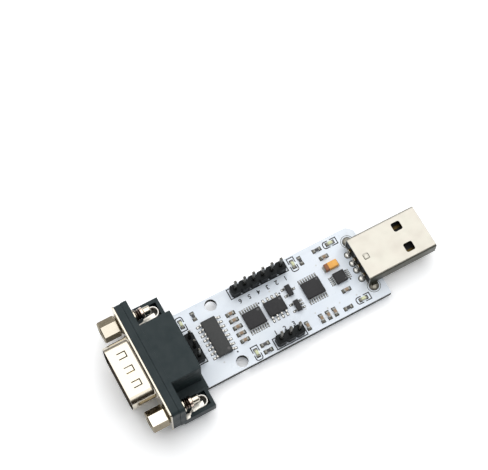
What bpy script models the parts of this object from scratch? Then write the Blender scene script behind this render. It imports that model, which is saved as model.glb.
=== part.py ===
"""USB to serial adapter module: a bare board with a USB plug at one end and a
9-pin D connector with jackscrews at the other. Metres, +X towards the USB
plug, +Y across the board, +Z up from the component side."""
import bpy
import bmesh
from math import cos, pi, radians, sin, tan
from mathutils import Matrix, Vector

MM = 0.001

# Fits between pieces
SEAT = 0.05 * MM            # between a piece and the face that it sits on
SLIP = 0.06 * MM            # each side, where one piece passes through another

# Circuit board, top face at z = 0
BOARD_LENGTH = 59.8 * MM
BOARD_WIDTH = 20.4 * MM
BOARD_THICKNESS = 1.6 * MM
BOARD_CORNER = 0.4 * MM
BOARD_CHAMFER = 1.6 * MM
MOUNT_HOLE = 3.0 * MM
MOUNT_HOLE_INSET = 2.05 * MM
TAIL_LENGTH = 1.3 * MM      # leads below the board, cut to one length

# USB plug
USB_LENGTH = 19.0 * MM
USB_WIDTH = 12.0 * MM
USB_HEIGHT = 4.5 * MM
USB_SHEET = 0.3 * MM
USB_CORNER = 0.65 * MM
USB_OVERLAP = 4.1 * MM      # length of shell that lies over the board
USB_WINDOW = 2.4 * MM
USB_WINDOW_SPREAD = 6.1 * MM
USB_WINDOW_SETBACK = 6.2 * MM
USB_TONGUE = 1.9 * MM
USB_BLOCK = 6.4 * MM        # solid rear length of the insulator
USB_CONTACT_WIDTH = 0.9 * MM
USB_CONTACT_SHEET = 0.25 * MM
USB_INNER_PITCH = 2.0 * MM
USB_OUTER_PITCH = 7.0 * MM
USB_LEG_WIDTH = 1.8 * MM

# Pin headers
PITCH = 2.54 * MM
HEADER_HEIGHT = 2.54 * MM
HEADER_DEPTH = 2.5 * MM
HEADER_NOTCH = 0.45 * MM
PIN_SIDE = 0.64 * MM
PIN_ABOVE = 5.2 * MM
HEADER_INSET = 1.95 * MM    # pin row to board edge

# D connector
D_HEIGHT_OVER_BOARD = 5.9 * MM      # axis above the board's top face
D_FLANGE_WIDTH = 30.81 * MM
D_FLANGE_HEIGHT = 12.55 * MM
D_SCREW_EDGE = 2.91 * MM    # screw axis to the end of the flange
D_SHELL_MARGIN = 6.505 * MM     # shell to the end of the flange
D_SCREW_SPACING = D_FLANGE_WIDTH - 2 * D_SCREW_EDGE
D_SHELL_WIDTH = D_FLANGE_WIDTH - 2 * D_SHELL_MARGIN
D_SHELL_HEIGHT = 9.3 * MM
D_SHELL_RADIUS = 3.0 * MM
D_SHELL_SLANT = radians(10)
D_SHELL_DEPTH = 6.3 * MM
D_SHEET = 0.4 * MM
SPRING_SLIT = 0.24 * MM
D_FRONT_FLANGE = 1.9 * MM
D_REAR_FLANGE = 1.45 * MM
D_BOSS = 0.9 * MM
D_PIN_DIAMETER = 1.02 * MM
D_PIN_PITCH = D_SHELL_WIDTH * 2.77 / 17.8
D_ROW_GAP = 2.84 * MM
D_PIN_REACH = 4.6 * MM      # pin beyond the insulator's face
D_HOUSING_STEP = 0.85 * MM   # shell's side to the housing's side
D_HOUSING_WIDTH = D_SHELL_WIDTH - 2 * D_HOUSING_STEP
D_HOUSING_DEPTH = 8.0 * MM
D_HOUSING_WALL = 1.1 * MM
D_SKIRT_HEIGHT = 1.9 * MM
D_SKIRT_DEPTH = 0.55 * MM
D_EAR_WALL = 0.95 * MM
D_EAR_INNER_WALL = 0.5 * MM
D_EAR_HEIGHT = 3.2 * MM
D_EAR_FLOOR = 1.0 * MM

# Jackscrews and the board clips in the ears
HEX_FLATS = 4.76 * MM
HEX_LENGTH = 4.6 * MM
HEX_TURNS = {"left": radians(23), "right": radians(14)}    # as they came to rest
SCREW_DIAMETER = 2.84 * MM
SCREW_BORE = 2.4 * MM
SCREW_BORE_DEPTH = 3.8 * MM
THREAD_PITCH = 0.635 * MM
THREAD_DEPTH = 0.28 * MM
POINT_DIAMETER = 2.1 * MM   # plain end of the screw, behind the thread
POINT_LENGTH = 1.9 * MM
SCREW_TAIL = 4.8 * MM       # screw beyond the rear flange
CLIP_HEIGHT = 1.5 * MM
CLIP_GAP = 0.1 * MM          # clip to the ear's rear wall

# Chip bodies: length along the pin rows, width, height
SOIC_16_LENGTH, SOIC_8_LENGTH = 9.9 * MM, 4.9 * MM
SOIC_WIDTH, SOIC_HEIGHT = 3.9 * MM, 1.55 * MM
SOIC_PITCH, SOIC_SPAN, SOIC_LEAD = 1.27 * MM, 6.0 * MM, 0.42 * MM
TSSOP_LENGTH, TSSOP_WIDTH, TSSOP_HEIGHT = 5.0 * MM, 4.4 * MM, 0.95 * MM
TSSOP_PITCH, TSSOP_SPAN, TSSOP_LEAD = 0.65 * MM, 6.4 * MM, 0.24 * MM
MSOP_SIDE, MSOP_PITCH, MSOP_SPAN = 3.0 * MM, 0.5 * MM, 4.9 * MM
SOT_LENGTH, SOT_WIDTH, SOT_HEIGHT = 2.9 * MM, 1.35 * MM, 1.0 * MM
SOT_PITCH, SOT_SPAN, SOT_OFFSET = 0.95 * MM, 2.8 * MM, 2.2 * MM
CHIP_LENGTH, CHIP_WIDTH = 1.6 * MM, 0.8 * MM
RESISTOR_HEIGHT, CAPACITOR_HEIGHT, LED_HEIGHT = 0.45 * MM, 0.8 * MM, 0.75 * MM
TANTALUM_LENGTH, TANTALUM_WIDTH, TANTALUM_HEIGHT = 3.6 * MM, 1.9 * MM, 1.6 * MM

# Derived places. x = 0 is the middle of the board until everything is built.
BOARD_LEFT = -BOARD_LENGTH / 2
BOARD_RIGHT = BOARD_LENGTH / 2
EDGE = BOARD_WIDTH / 2
UNDER = -BOARD_THICKNESS
TAIL_END = UNDER - TAIL_LENGTH
USB_REAR = BOARD_RIGHT - USB_OVERLAP
USB_FRONT = USB_REAR + USB_LENGTH
D_AXIS = D_HEIGHT_OVER_BOARD
D_REAR = BOARD_LEFT - SEAT - 0.1 * MM          # rear face of the rear flange
D_SPLIT = D_REAR - D_REAR_FLANGE
D_PLATE_REAR = D_SPLIT - SEAT - D_FRONT_FLANGE
D_PLATE_FRONT = D_PLATE_REAR - SEAT - D_SHEET
D_FRONT = D_PLATE_FRONT - D_SHELL_DEPTH
HOUSING_REAR = D_REAR + D_HOUSING_DEPTH
SKIRT_REAR = HOUSING_REAR + D_SKIRT_DEPTH
EAR_INNER = EDGE + 0.12 * MM
EAR_OUTER = D_FLANGE_WIDTH / 2
EAR_TRAY = EAR_OUTER - D_EAR_WALL - EAR_INNER - D_EAR_INNER_WALL    # clear width
EYELET_BORE = 0.355 * EAR_TRAY      # these fill the tray, with a gap each side
EYELET_WALL = 0.082 * EAR_TRAY
EYELET_LIP = 0.06 * EAR_TRAY
CLIP_SHEET = 0.082 * EAR_TRAY
CLIP_Y = EAR_INNER + D_EAR_INNER_WALL + EAR_TRAY / 2
CLIP_RADIUS = EYELET_BORE / 2 + EYELET_WALL + EYELET_LIP + SLIP + CLIP_SHEET
EYELET_X = HOUSING_REAR - D_EAR_WALL - CLIP_GAP - CLIP_RADIUS
ROW_Y = EDGE - HEADER_INSET


def spread(start, row):
    """Middles of the pieces of a row that runs from start to the USB shell.
    Each entry is a name, a length along the board and a share of the spare
    length, which is the gap before it. Gaps take up a change of the board, and
    pieces keep their size."""
    spare = USB_REAR - start - sum(size for _, size, _ in row)
    spare /= sum(share for _, _, share in row)
    x, places = start, {}
    for name, size, share in row:
        x += share * spare
        places[name] = x + size / 2
        x += size
    return places


MIDDLE_ROW = spread(SKIRT_REAR, (
    ("side header", 2.7 * MM, 0.3), ("soic 16", SOIC_SPAN, 1.8), ("capacitors", CHIP_LENGTH, 2.02),
    ("tssop a", TSSOP_LENGTH, 1.29), ("soic 8", SOIC_8_LENGTH, 0.96), ("sots", SOT_SPAN, 1.21),
    ("tssop b", TSSOP_LENGTH, 1.59), ("msop", MSOP_SPAN, 2.43), ("end", 0.0, 2.8)))
LEFT_ROW = spread(SKIRT_REAR, (
    ("led serial", CHIP_WIDTH, 1.35), ("r1", CHIP_WIDTH, 2.79), ("hole", MOUNT_HOLE, 3.21),
    ("header 6", 6 * PITCH, 4.17), ("led ttl", CHIP_WIDTH, 1.73), ("r2", CHIP_WIDTH, 1.28),
    ("r3", CHIP_LENGTH, 3.77), ("led usb", CHIP_LENGTH, 2.23), ("end", 0.0, 2.13)))
RIGHT_ROW = spread(LEFT_ROW["hole"] + MOUNT_HOLE / 2, (
    ("led bus", CHIP_WIDTH, 2.22), ("resistors", CHIP_LENGTH, 1.59), ("header 3", 3 * PITCH, 1.67),
    ("c1", CHIP_WIDTH, 1.0), ("c2", CHIP_WIDTH, 3.18), ("c3", CHIP_WIDTH, 1.09),
    ("c4", CHIP_WIDTH, 1.04), ("r4", CHIP_LENGTH, 2.21), ("led power", CHIP_LENGTH, 2.84),
    ("end", 0.0, 2.09)))


parts = bpy.data.collections.new("usb_serial_adapter")
cutters = bpy.data.collections.new("cutters")


def start_scene():
    for old in list(bpy.data.objects):
        bpy.data.objects.remove(old, do_unlink=True)
    bpy.context.scene.collection.children.link(parts)
    bpy.context.scene.collection.children.link(cutters)


def material(name, colour, roughness, metallic=0.0):
    mat = bpy.data.materials.new(name)
    mat.use_nodes = True
    shader = mat.node_tree.nodes["Principled BSDF"]
    shader.inputs["Base Color"].default_value = (*colour, 1.0)
    shader.inputs["Roughness"].default_value = roughness
    shader.inputs["Metallic"].default_value = metallic
    mat.diffuse_color = (*colour, 1.0)
    return mat


# Objects from meshes and outlines

def add_object(name, mesh, mat=None):
    obj = bpy.data.objects.new(name, mesh)
    if mat is None:
        obj.hide_render = True
        obj.display_type = "WIRE"
        cutters.objects.link(obj)
    else:
        obj.data.materials.append(mat)
        parts.objects.link(obj)
    return obj


def mesh_from(bm, name):
    bmesh.ops.recalc_face_normals(bm, faces=bm.faces)
    mesh = bpy.data.meshes.new(name)
    bm.to_mesh(mesh)
    bm.free()
    return mesh


def box(bm, x, y, z):
    """A block between two values on each axis."""
    sides = ((x[1] - x[0]), (y[1] - y[0]), (z[1] - z[0]))
    middle = ((x[0] + x[1]) / 2, (y[0] + y[1]) / 2, (z[0] + z[1]) / 2)
    place = Matrix.Translation(middle) @ Matrix.Diagonal((*sides, 1.0))
    return bmesh.ops.create_cube(bm, size=1.0, matrix=place)["verts"]


def block(name, x, y, z, mat=None, bevel=0.0, segments=1):
    bm = bmesh.new()
    box(bm, x, y, z)
    if bevel:
        bmesh.ops.bevel(bm, geom=bm.edges[:], offset=bevel, segments=segments,
                        affect="EDGES", profile=0.5)
    return add_object(name, mesh_from(bm, name), mat)


def rod(bm, centre, axis, radius, length, sides=16):
    """A cylinder with its middle at centre, along the X, Y or Z axis."""
    turn = {"X": Matrix.Rotation(pi / 2, 4, "Y"), "Y": Matrix.Rotation(pi / 2, 4, "X"),
            "Z": Matrix.Identity(4)}[axis]
    bmesh.ops.create_cone(bm, cap_ends=True, segments=sides, radius1=radius,
                          radius2=radius, depth=length,
                          matrix=Matrix.Translation(centre) @ turn)


def boolean(obj, other, operation="DIFFERENCE"):
    mod = obj.modifiers.new(operation.title(), "BOOLEAN")
    mod.operation = operation
    mod.object = other
    mod.solver = "EXACT"
    return mod


def circle(cx, cy, radius, sides=16):
    return [(cx + radius * cos(2 * pi * i / sides + pi / sides),
             cy + radius * sin(2 * pi * i / sides + pi / sides)) for i in range(sides)]


def square(cx, cy, side):
    h = side / 2
    return [(cx - h, cy - h), (cx + h, cy - h), (cx + h, cy + h), (cx - h, cy + h)]


def rounded(corners, steps=4):
    """Round an anticlockwise polygon; each corner is (x, y, radius)."""
    points = []
    count = len(corners)
    for i, (x, y, radius) in enumerate(corners):
        here = Vector((x, y))
        before = (Vector(corners[i - 1][:2]) - here).normalized()
        after = (Vector(corners[(i + 1) % count][:2]) - here).normalized()
        half = before.angle(after) / 2
        reach = radius / tan(half)
        middle = here + (before + after).normalized() * (radius / sin(half))
        first = here + before * reach - middle
        turn = pi - 2 * half
        for k in range(steps + 1):
            a = turn * k / steps
            c, s = cos(a), sin(a)
            points.append((middle.x + first.x * c - first.y * s,
                           middle.y + first.x * s + first.y * c))
    return points


def rounded_rect(width, height, radius, steps=4):
    w, h = width / 2, height / 2
    return rounded([(-w, -h, radius), (w, -h, radius), (w, h, radius), (-w, h, radius)], steps)


def outline_mesh(name, outlines, thickness):
    """Mesh of a flat outline with holes, thick along +Z from z = 0."""
    curve = bpy.data.curves.new(name, "CURVE")
    curve.dimensions = "2D"
    curve.fill_mode = "BOTH"
    curve.extrude = thickness / 2
    for points in outlines:
        spline = curve.splines.new("POLY")
        spline.points.add(len(points) - 1)
        for point, (x, y) in zip(spline.points, points):
            point.co = (x, y, 0.0, 1.0)
        spline.use_cyclic_u = True
    holder = bpy.data.objects.new(name, curve)
    bpy.context.scene.collection.objects.link(holder)
    graph = bpy.context.evaluated_depsgraph_get()
    mesh = bpy.data.meshes.new_from_object(holder.evaluated_get(graph))
    bpy.data.objects.remove(holder, do_unlink=True)
    bm = bmesh.new()
    bm.from_mesh(mesh)
    bmesh.ops.remove_doubles(bm, verts=bm.verts, dist=0.002 * MM)
    bmesh.ops.translate(bm, verts=bm.verts, vec=(0, 0, thickness / 2))
    bmesh.ops.recalc_face_normals(bm, faces=bm.faces)
    bm.to_mesh(mesh)
    bm.free()
    mesh.name = name
    return mesh


def plate(name, outlines, thickness, mat=None, along="Z", at=0.0):
    """A flat outline made thick along an axis, from the value at. Along X the
    outline is (y, z), along Y it is (x, z), along Z it is (x, y)."""
    obj = add_object(name, outline_mesh(name, outlines, thickness), mat)
    if along == "X":
        obj.rotation_euler = (pi / 2, 0, pi / 2)
        obj.location.x = at
    elif along == "Y":
        obj.rotation_euler = (pi / 2, 0, 0)
        obj.location.y = at + thickness
    else:
        obj.location.z = at
    return obj


def shade(obj, angle=35):
    obj.data.shade_smooth()
    obj.data.set_sharp_from_angle(angle=radians(angle))


def turned(name, profile, mat=None, sides=16, axis="X", at=(0, 0, 0)):
    """A solid of revolution. The profile is (distance along axis, radius) and
    starts and ends on the axis."""
    bm = bmesh.new()
    verts = [bm.verts.new((radius, 0.0, -along)) for along, radius in profile]
    for a, b in zip(verts, verts[1:]):
        bm.edges.new((a, b))
    mesh = bpy.data.meshes.new(name)
    bm.to_mesh(mesh)
    bm.free()
    obj = add_object(name, mesh, mat)
    screw = obj.modifiers.new("Screw", "SCREW")
    screw.steps = screw.render_steps = sides
    screw.use_merge_vertices = True
    screw.merge_threshold = 0.00001
    screw.use_normal_calculate = True
    if axis == "X":
        obj.rotation_euler = (0, -pi / 2, 0)
    elif axis == "Z":
        obj.rotation_euler = (pi, 0, 0)
    obj.location = at
    return obj


# Circuit board with the chip passives soldered to it

def header_rows():
    """Name, first pin, step and count of each pin row."""
    six = LEFT_ROW["header 6"] - 2.5 * PITCH
    return (("header_6", (six, ROW_Y), (PITCH, 0.0), 6),
            ("header_3_edge", (RIGHT_ROW["header 3"] - PITCH, -ROW_Y), (PITCH, 0.0), 3),
            ("header_3_side", (MIDDLE_ROW["side header"], 2.45 * MM), (0.0, -PITCH), 3))


def pin_places(first, step, count):
    return [(first[0] + i * step[0], first[1] + i * step[1]) for i in range(count)]


def d_pins():
    """Centre y, centre z, tail x and tail y of the nine pins."""
    places = []
    rear_row = HOUSING_REAR - D_HOUSING_WALL - 2.0 * MM
    for i in range(5):
        y = (2 - i) * D_PIN_PITCH
        places.append((y, D_AXIS + D_ROW_GAP / 2, rear_row))
    for i in range(4):
        y = (1.5 - i) * D_PIN_PITCH
        places.append((y, D_AXIS - D_ROW_GAP / 2, rear_row - D_ROW_GAP))
    return places


def usb_contact_rows():
    return (USB_OUTER_PITCH / 2, USB_INNER_PITCH / 2, -USB_INNER_PITCH / 2, -USB_OUTER_PITCH / 2)


USB_TAIL_X = USB_REAR - 0.55 * MM
USB_LEG_X = USB_REAR + 1.35 * MM
USB_LEG_Y = USB_WIDTH / 2 + 0.45 * MM

# kind, x, y, turned across the board
PASSIVES = (
    ("r", LEFT_ROW["r1"], EDGE - 2.65 * MM, True), ("r", LEFT_ROW["r2"], EDGE - 2.4 * MM, True),
    ("r", LEFT_ROW["r3"], EDGE - 1.85 * MM, False),
    ("r", RIGHT_ROW["resistors"], 3.2 * MM - EDGE, False),
    ("r", RIGHT_ROW["resistors"], 1.35 * MM - EDGE, False),
    ("c", RIGHT_ROW["c1"], 2.3 * MM - EDGE, True), ("c", RIGHT_ROW["c2"], 2.3 * MM - EDGE, True),
    ("c", RIGHT_ROW["c3"], 2.3 * MM - EDGE, True), ("c", RIGHT_ROW["c4"], 2.3 * MM - EDGE, True),
    ("r", RIGHT_ROW["r4"], 1.65 * MM - EDGE, False),
    ("c", MIDDLE_ROW["msop"] - 0.2 * MM, -4.3 * MM, False),
    ("c", MIDDLE_ROW["msop"] - 0.85 * MM, 5.85 * MM, False),
) + tuple(("c", MIDDLE_ROW["capacitors"], (2 - i) * 1.9 * MM, False) for i in range(5))


def board():
    left, right, edge = BOARD_LEFT, BOARD_RIGHT, EDGE
    cut = BOARD_CHAMFER
    outer = rounded([(left, -edge, BOARD_CORNER), (right, -edge, BOARD_CORNER),
                     (right, edge - cut, BOARD_CORNER), (right - cut, edge, BOARD_CORNER),
                     (left, edge, BOARD_CORNER)], 3)
    holes = [circle(LEFT_ROW["hole"], side * (edge - MOUNT_HOLE_INSET), MOUNT_HOLE / 2, 24)
             for side in (1, -1)]
    for _, first, step, count in header_rows():
        for x, y in pin_places(first, step, count):
            holes.append(circle(x, y, PIN_SIDE * 0.5 ** 0.5 + SLIP, 8))
    for y, _, x in d_pins():
        holes.append(circle(x, y, D_PIN_DIAMETER / 2 + SLIP, 8))
    for y in usb_contact_rows():
        holes.append(circle(USB_TAIL_X, y, USB_CONTACT_WIDTH / 2 + 2 * SLIP, 8))
    for side in (1, -1):
        holes.append(circle(USB_LEG_X, side * USB_LEG_Y, USB_LEG_WIDTH / 2 + 2 * SLIP, 12))
    pcb = plate("circuit_board", [outer] + holes, BOARD_THICKNESS,
                material("white solder mask", (0.86, 0.88, 0.90), 0.35), at=UNDER)
    bm = bmesh.new()
    for kind, x, y, across in PASSIVES:
        chip_passive(bm, kind, x, y, across)
    boolean(pcb, add_object("passives", mesh_from(bm, "passives")), "UNION").use_self = True
    return pcb


def chip_passive(bm, kind, x, y, across):
    """A chip part with its two end caps, sunk a little to join the board."""
    height = CAPACITOR_HEIGHT if kind == "c" else RESISTOR_HEIGHT
    long, wide, cap = CHIP_LENGTH / 2, CHIP_WIDTH / 2, 0.02 * MM
    rise, sunk = height, -0.1 * MM
    end = 0.35 * MM
    shape = rounded_chip_outline(long, wide, cap, end)
    verts = [bm.verts.new(((y2 + x) if across else (x2 + x),
                           (x2 + y) if across else (y2 + y), sunk)) for x2, y2 in shape]
    if across:
        verts.reverse()
    face = bm.faces.new(verts)
    top = bmesh.ops.extrude_face_region(bm, geom=[face])["geom"]
    moved = [v for v in top if isinstance(v, bmesh.types.BMVert)]
    bmesh.ops.translate(bm, verts=moved, vec=(0, 0, rise - sunk))


def rounded_chip_outline(long, wide, cap, end):
    """Plan of a chip part: a body between two slightly wider end caps."""
    return [(-long, -wide - cap), (-long + end, -wide - cap), (-long + end, -wide),
            (long - end, -wide), (long - end, -wide - cap), (long, -wide - cap),
            (long, wide + cap), (long - end, wide + cap), (long - end, wide),
            (-long + end, wide), (-long + end, wide + cap), (-long, wide + cap)]


# Pin headers

def header_base(name, first, step, count, mat):
    """A strip of square cells with chamfered corners, one hole to a pin."""
    n, half, deep = HEADER_NOTCH, PITCH / 2, HEADER_DEPTH / 2
    near = []
    for i in range(count):
        c = i * PITCH
        near += [(c - half, -deep + n), (c - half + n, -deep), (c + half - n, -deep)]
    near.append(((count - 0.5) * PITCH, -deep + n))
    outline = near + far_edge(count)
    holes = [square(i * PITCH, 0.0, PIN_SIDE + 2 * SLIP) for i in range(count)]
    obj = plate(name, [outline] + holes, HEADER_HEIGHT, mat, at=SEAT)
    obj.location.x, obj.location.y = first
    if step[1]:
        obj.rotation_euler.z = -pi / 2
    return obj


def far_edge(count):
    """The notched long edge on the far side, run backwards."""
    n, half, deep = HEADER_NOTCH, PITCH / 2, HEADER_DEPTH / 2
    points = []
    for i in reversed(range(count)):
        c = i * PITCH
        points += [(c + half, deep - n), (c + half - n, deep), (c - half + n, deep)]
    points.append((-half, deep - n))
    return points


def header_pin(name, x, y, mat):
    """A square pin with tapered tips at both ends."""
    bm = bmesh.new()
    taper, half = 0.35 * MM, PIN_SIDE / 2
    low, high = TAIL_END, SEAT + HEADER_HEIGHT + PIN_ABOVE
    box(bm, (x - half, x + half), (y - half, y + half), (low + taper, high - taper))
    for up in (1, -1):
        face = max(bm.faces, key=lambda f: up * f.calc_center_median().z)
        grown = bmesh.ops.extrude_discrete_faces(bm, faces=[face])["faces"][0]
        bmesh.ops.translate(bm, verts=grown.verts, vec=(0, 0, up * taper))
        bmesh.ops.scale(bm, verts=grown.verts, vec=(0.5, 0.5, 1.0),
                        space=Matrix.Translation((-x, -y, 0)))
    return add_object(name, mesh_from(bm, name), mat)


def headers():
    black = material("header plastic", (0.02, 0.02, 0.022), 0.5)
    plated = material("pin plating", (0.75, 0.74, 0.70), 0.25, 1.0)
    for name, first, step, count in header_rows():
        header_base(name, first, step, count, black)
        for i, (x, y) in enumerate(pin_places(first, step, count)):
            header_pin(f"{name}_pin_{i + 1}", x, y, plated)


# USB plug

def usb_shell(mat):
    """A folded sheet tube with windows on both faces and two side legs."""
    middle = SEAT + USB_HEIGHT / 2
    outer = [(y, z + middle) for y, z in rounded_rect(USB_WIDTH, USB_HEIGHT, USB_CORNER, 4)]
    inner = [(y, z + middle) for y, z in rounded_rect(
        USB_WIDTH - 2 * USB_SHEET, USB_HEIGHT - 2 * USB_SHEET, USB_CORNER - USB_SHEET, 4)]
    shell = plate("usb_shell", [outer, inner], USB_LENGTH, mat, along="X", at=USB_REAR)
    for side, tag in ((1, "left"), (-1, "right")):
        boolean(shell, usb_leg(side, "usb_leg_" + tag), "UNION")
    window = USB_FRONT - USB_WINDOW_SETBACK
    for side, tag in ((1, "left"), (-1, "right")):
        corners = [(x + window, y + side * USB_WINDOW_SPREAD / 2)
                   for x, y in rounded_rect(USB_WINDOW, USB_WINDOW, 0.45 * MM, 3)]
        boolean(shell, plate("usb_window_" + tag, [corners], 2 * USB_HEIGHT,
                             at=middle - USB_HEIGHT))
    dimple = [(x + USB_REAR + 2.1 * MM, y) for x, y in rounded_rect(1.2 * MM, 1.2 * MM, 0.3 * MM, 3)]
    boolean(shell, plate("usb_dimple", [dimple], USB_SHEET,
                         at=SEAT + USB_HEIGHT - USB_SHEET / 2))
    return shell


def usb_leg(side, name):
    """A side tab of the shell that steps outward and goes through the board."""
    face = USB_WIDTH / 2
    t = USB_SHEET
    out = USB_LEG_Y + t / 2
    path = [(face - t * 0.9, 1.3 * MM), (face - t * 0.1, 1.3 * MM), (out, 0.75 * MM), (out, TAIL_END),
            (out - t, TAIL_END), (out - t, 0.62 * MM), (face - t * 0.9, 1.0 * MM)]
    points = [(side * y, z) for y, z in path]
    if side > 0:
        points.reverse()
    return plate(name, [points], USB_LEG_WIDTH, along="X", at=USB_LEG_X - USB_LEG_WIDTH / 2)


def usb_insulator(mat):
    middle = SEAT + USB_HEIGHT / 2
    low, high = SEAT, SEAT + USB_HEIGHT
    half = USB_WIDTH / 2
    tongue = SEAT + USB_SHEET + SEAT + USB_TONGUE
    rear, front = USB_REAR + 0.1 * MM, USB_FRONT - 0.6 * MM
    step = USB_REAR + USB_BLOCK
    side = [(rear, low), (front - 0.4 * MM, low), (front, low + USB_SHEET + 0.4 * MM),
            (front, tongue - 0.4 * MM), (front - 0.4 * MM, tongue), (step, tongue),
            (step, high), (rear, high)]
    body = plate("usb_insulator", [side], 2 * half, mat, along="Y", at=-half)
    fit = USB_SHEET + SEAT
    bore = [(y, z + middle) for y, z in rounded_rect(
        USB_WIDTH - 2 * fit, USB_HEIGHT - 2 * fit, USB_CORNER - USB_SHEET, 3)]
    boolean(body, plate("usb_bore", [bore], USB_LENGTH + 2 * MM, along="X", at=USB_REAR - MM),
            "INTERSECT")
    bm = bmesh.new()
    for y in usb_contact_rows():
        w = USB_CONTACT_WIDTH / 2 + SLIP
        box(bm, (rear - MM, step + MM), (y - w, y + w),
            (tongue + SEAT - SLIP, tongue + SEAT + USB_CONTACT_SHEET + SLIP))
    boolean(body, add_object("usb_contact_slots", mesh_from(bm, "usb_contact_slots")))
    return body


def usb_contacts(mat):
    """Flat springs on the tongue that turn down into the board at the rear."""
    t = USB_CONTACT_SHEET
    z = SEAT + USB_SHEET + SEAT + USB_TONGUE + SEAT
    for i, y in enumerate(usb_contact_rows()):
        front = USB_FRONT - (1.5 if i in (0, 3) else 2.4) * MM
        x = USB_TAIL_X
        side = [(x - t / 2, TAIL_END), (x + t / 2, TAIL_END), (x + t / 2, z - 0.25 * MM),
                (x + t / 2 + 0.25 * MM, z), (front, z), (front, z + t),
                (x + 0.1 * MM, z + t), (x - t / 2, z - 0.05 * MM)]
        plate(f"usb_contact_{i + 1}", [side], USB_CONTACT_WIDTH, mat, along="Y",
              at=y - USB_CONTACT_WIDTH / 2)


# D connector

def d_outline(grow=0.0, steps=6):
    """The D shape, wide side up, as (y, z); grow moves it outward."""
    w = D_SHELL_WIDTH / 2 + grow / cos(D_SHELL_SLANT) + grow * tan(D_SHELL_SLANT)
    h = D_SHELL_HEIGHT / 2 + grow
    lean = 2 * h * tan(D_SHELL_SLANT)
    r = D_SHELL_RADIUS + grow
    return [(y, z + D_AXIS) for y, z in rounded(
        [(-w + lean, -h, r), (w - lean, -h, r), (w, h, r), (-w, h, r)], steps)]


def flange_outline(steps=3, radius=0.9 * MM, trim=0.0):
    return [(y, z + D_AXIS) for y, z in rounded_rect(
        D_FLANGE_WIDTH - 2 * trim, D_FLANGE_HEIGHT - 2 * trim, radius, steps)]


def screw_places():
    return ((D_SCREW_SPACING / 2, "left"), (-D_SCREW_SPACING / 2, "right"))


def d_shell(mat):
    """Drawn steel front: a flat flange that runs into a D-shaped shroud."""
    steps = 6
    fillet = 0.7 * MM
    bm = bmesh.new()
    sections = [(D_FRONT, 0.0), (D_PLATE_FRONT - fillet, 0.0)]
    for k in range(1, 4):
        a = pi / 2 * k / 3
        sections.append((D_PLATE_FRONT - fillet * (1 - sin(a)), fillet * (1 - cos(a))))
    loops = []
    for x, grow in sections:
        loops.append(edge_loop(bm, [(x, y, z) for y, z in d_outline(grow, steps)]))
    for a, b in zip(loops, loops[1:]):
        bmesh.ops.bridge_loops(bm, edges=a + b)
    plane = [flange_outline(steps)] + [circle(y, D_AXIS, SCREW_DIAMETER / 2 + 2 * SLIP, 20)
                                       for y, _ in screw_places()]
    rims = [edge for points in plane
            for edge in edge_loop(bm, [(D_PLATE_FRONT, y, z) for y, z in points])]
    bmesh.ops.triangle_fill(bm, use_beauty=True, edges=loops[-1] + rims)
    bmesh.ops.recalc_face_normals(bm, faces=bm.faces)
    mouth = min(bm.faces, key=lambda f: f.calc_center_median().x)
    outward = mouth.calc_center_median() - Vector((0.0, 0.0, D_AXIS))
    outward.x = 0.0
    if mouth.normal.dot(outward) < 0:
        bmesh.ops.reverse_faces(bm, faces=bm.faces)
    mesh = bpy.data.meshes.new("dsub_shell")
    bm.to_mesh(mesh)
    bm.free()
    shell = add_object("dsub_shell", mesh, mat)
    wall = shell.modifiers.new("Sheet", "SOLIDIFY")
    wall.thickness = D_SHEET
    wall.offset = -1.0
    wall.use_even_offset = True
    top, bottom = D_AXIS + D_SHELL_HEIGHT / 2, D_AXIS - D_SHELL_HEIGHT / 2
    for i, y in enumerate((3.84 * MM, 0.0, -3.84 * MM)):
        boolean(shell, spring_slot(f"spring_top_{i}", y, top))
    for i, y in enumerate((2.6 * MM, -2.6 * MM)):
        boolean(shell, spring_slot(f"spring_bottom_{i}", y, bottom))
    shade(shell)
    return shell


def edge_loop(bm, points):
    verts = [bm.verts.new(p) for p in points]
    return [bm.edges.new((verts[i - 1], verts[i])) for i in range(len(verts))]


def spring_slot(name, y, z):
    """Cutter for the U-shaped slit round a grounding spring, open to the front."""
    front, back = D_PLATE_FRONT - 4.1 * MM, D_PLATE_FRONT - 1.9 * MM
    half, w = 0.85 * MM, SPRING_SLIT
    shape = [(front, -half), (back, -half), (back, half), (front, half),
             (front, half - w), (back - w, half - w), (back - w, w - half), (front, w - half)]
    return plate(name, [[(px, py + y) for px, py in shape]], 1.6 * MM, at=z - 0.8 * MM)


def d_insulator(mat):
    """Front insulator: a flange behind the steel and a D-shaped boss inside it."""
    grow = -D_SHEET - 0.12 * MM
    body = plate("dsub_insulator", [flange_outline(3, 1.0 * MM, 0.12 * MM)], D_FRONT_FLANGE, mat,
                 along="X", at=D_PLATE_REAR)
    boss = plate("insulator_boss", [d_outline(grow, 5)], D_SHEET + SEAT + D_BOSS + MM,
                 along="X", at=D_PLATE_FRONT - D_BOSS)
    boolean(body, boss, "UNION")
    bm = bmesh.new()
    middle = (D_PLATE_FRONT + D_SPLIT) / 2
    for y, z, _ in d_pins():
        rod(bm, (middle, y, z), "X", D_PIN_DIAMETER / 2 + SLIP, 12 * MM, 12)
    for y, _ in screw_places():
        rod(bm, (middle, y, D_AXIS), "X", SCREW_DIAMETER / 2 + 2 * SLIP, 12 * MM, 20)
    boolean(body, add_object("insulator_bores", mesh_from(bm, "insulator_bores")))
    return body


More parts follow.
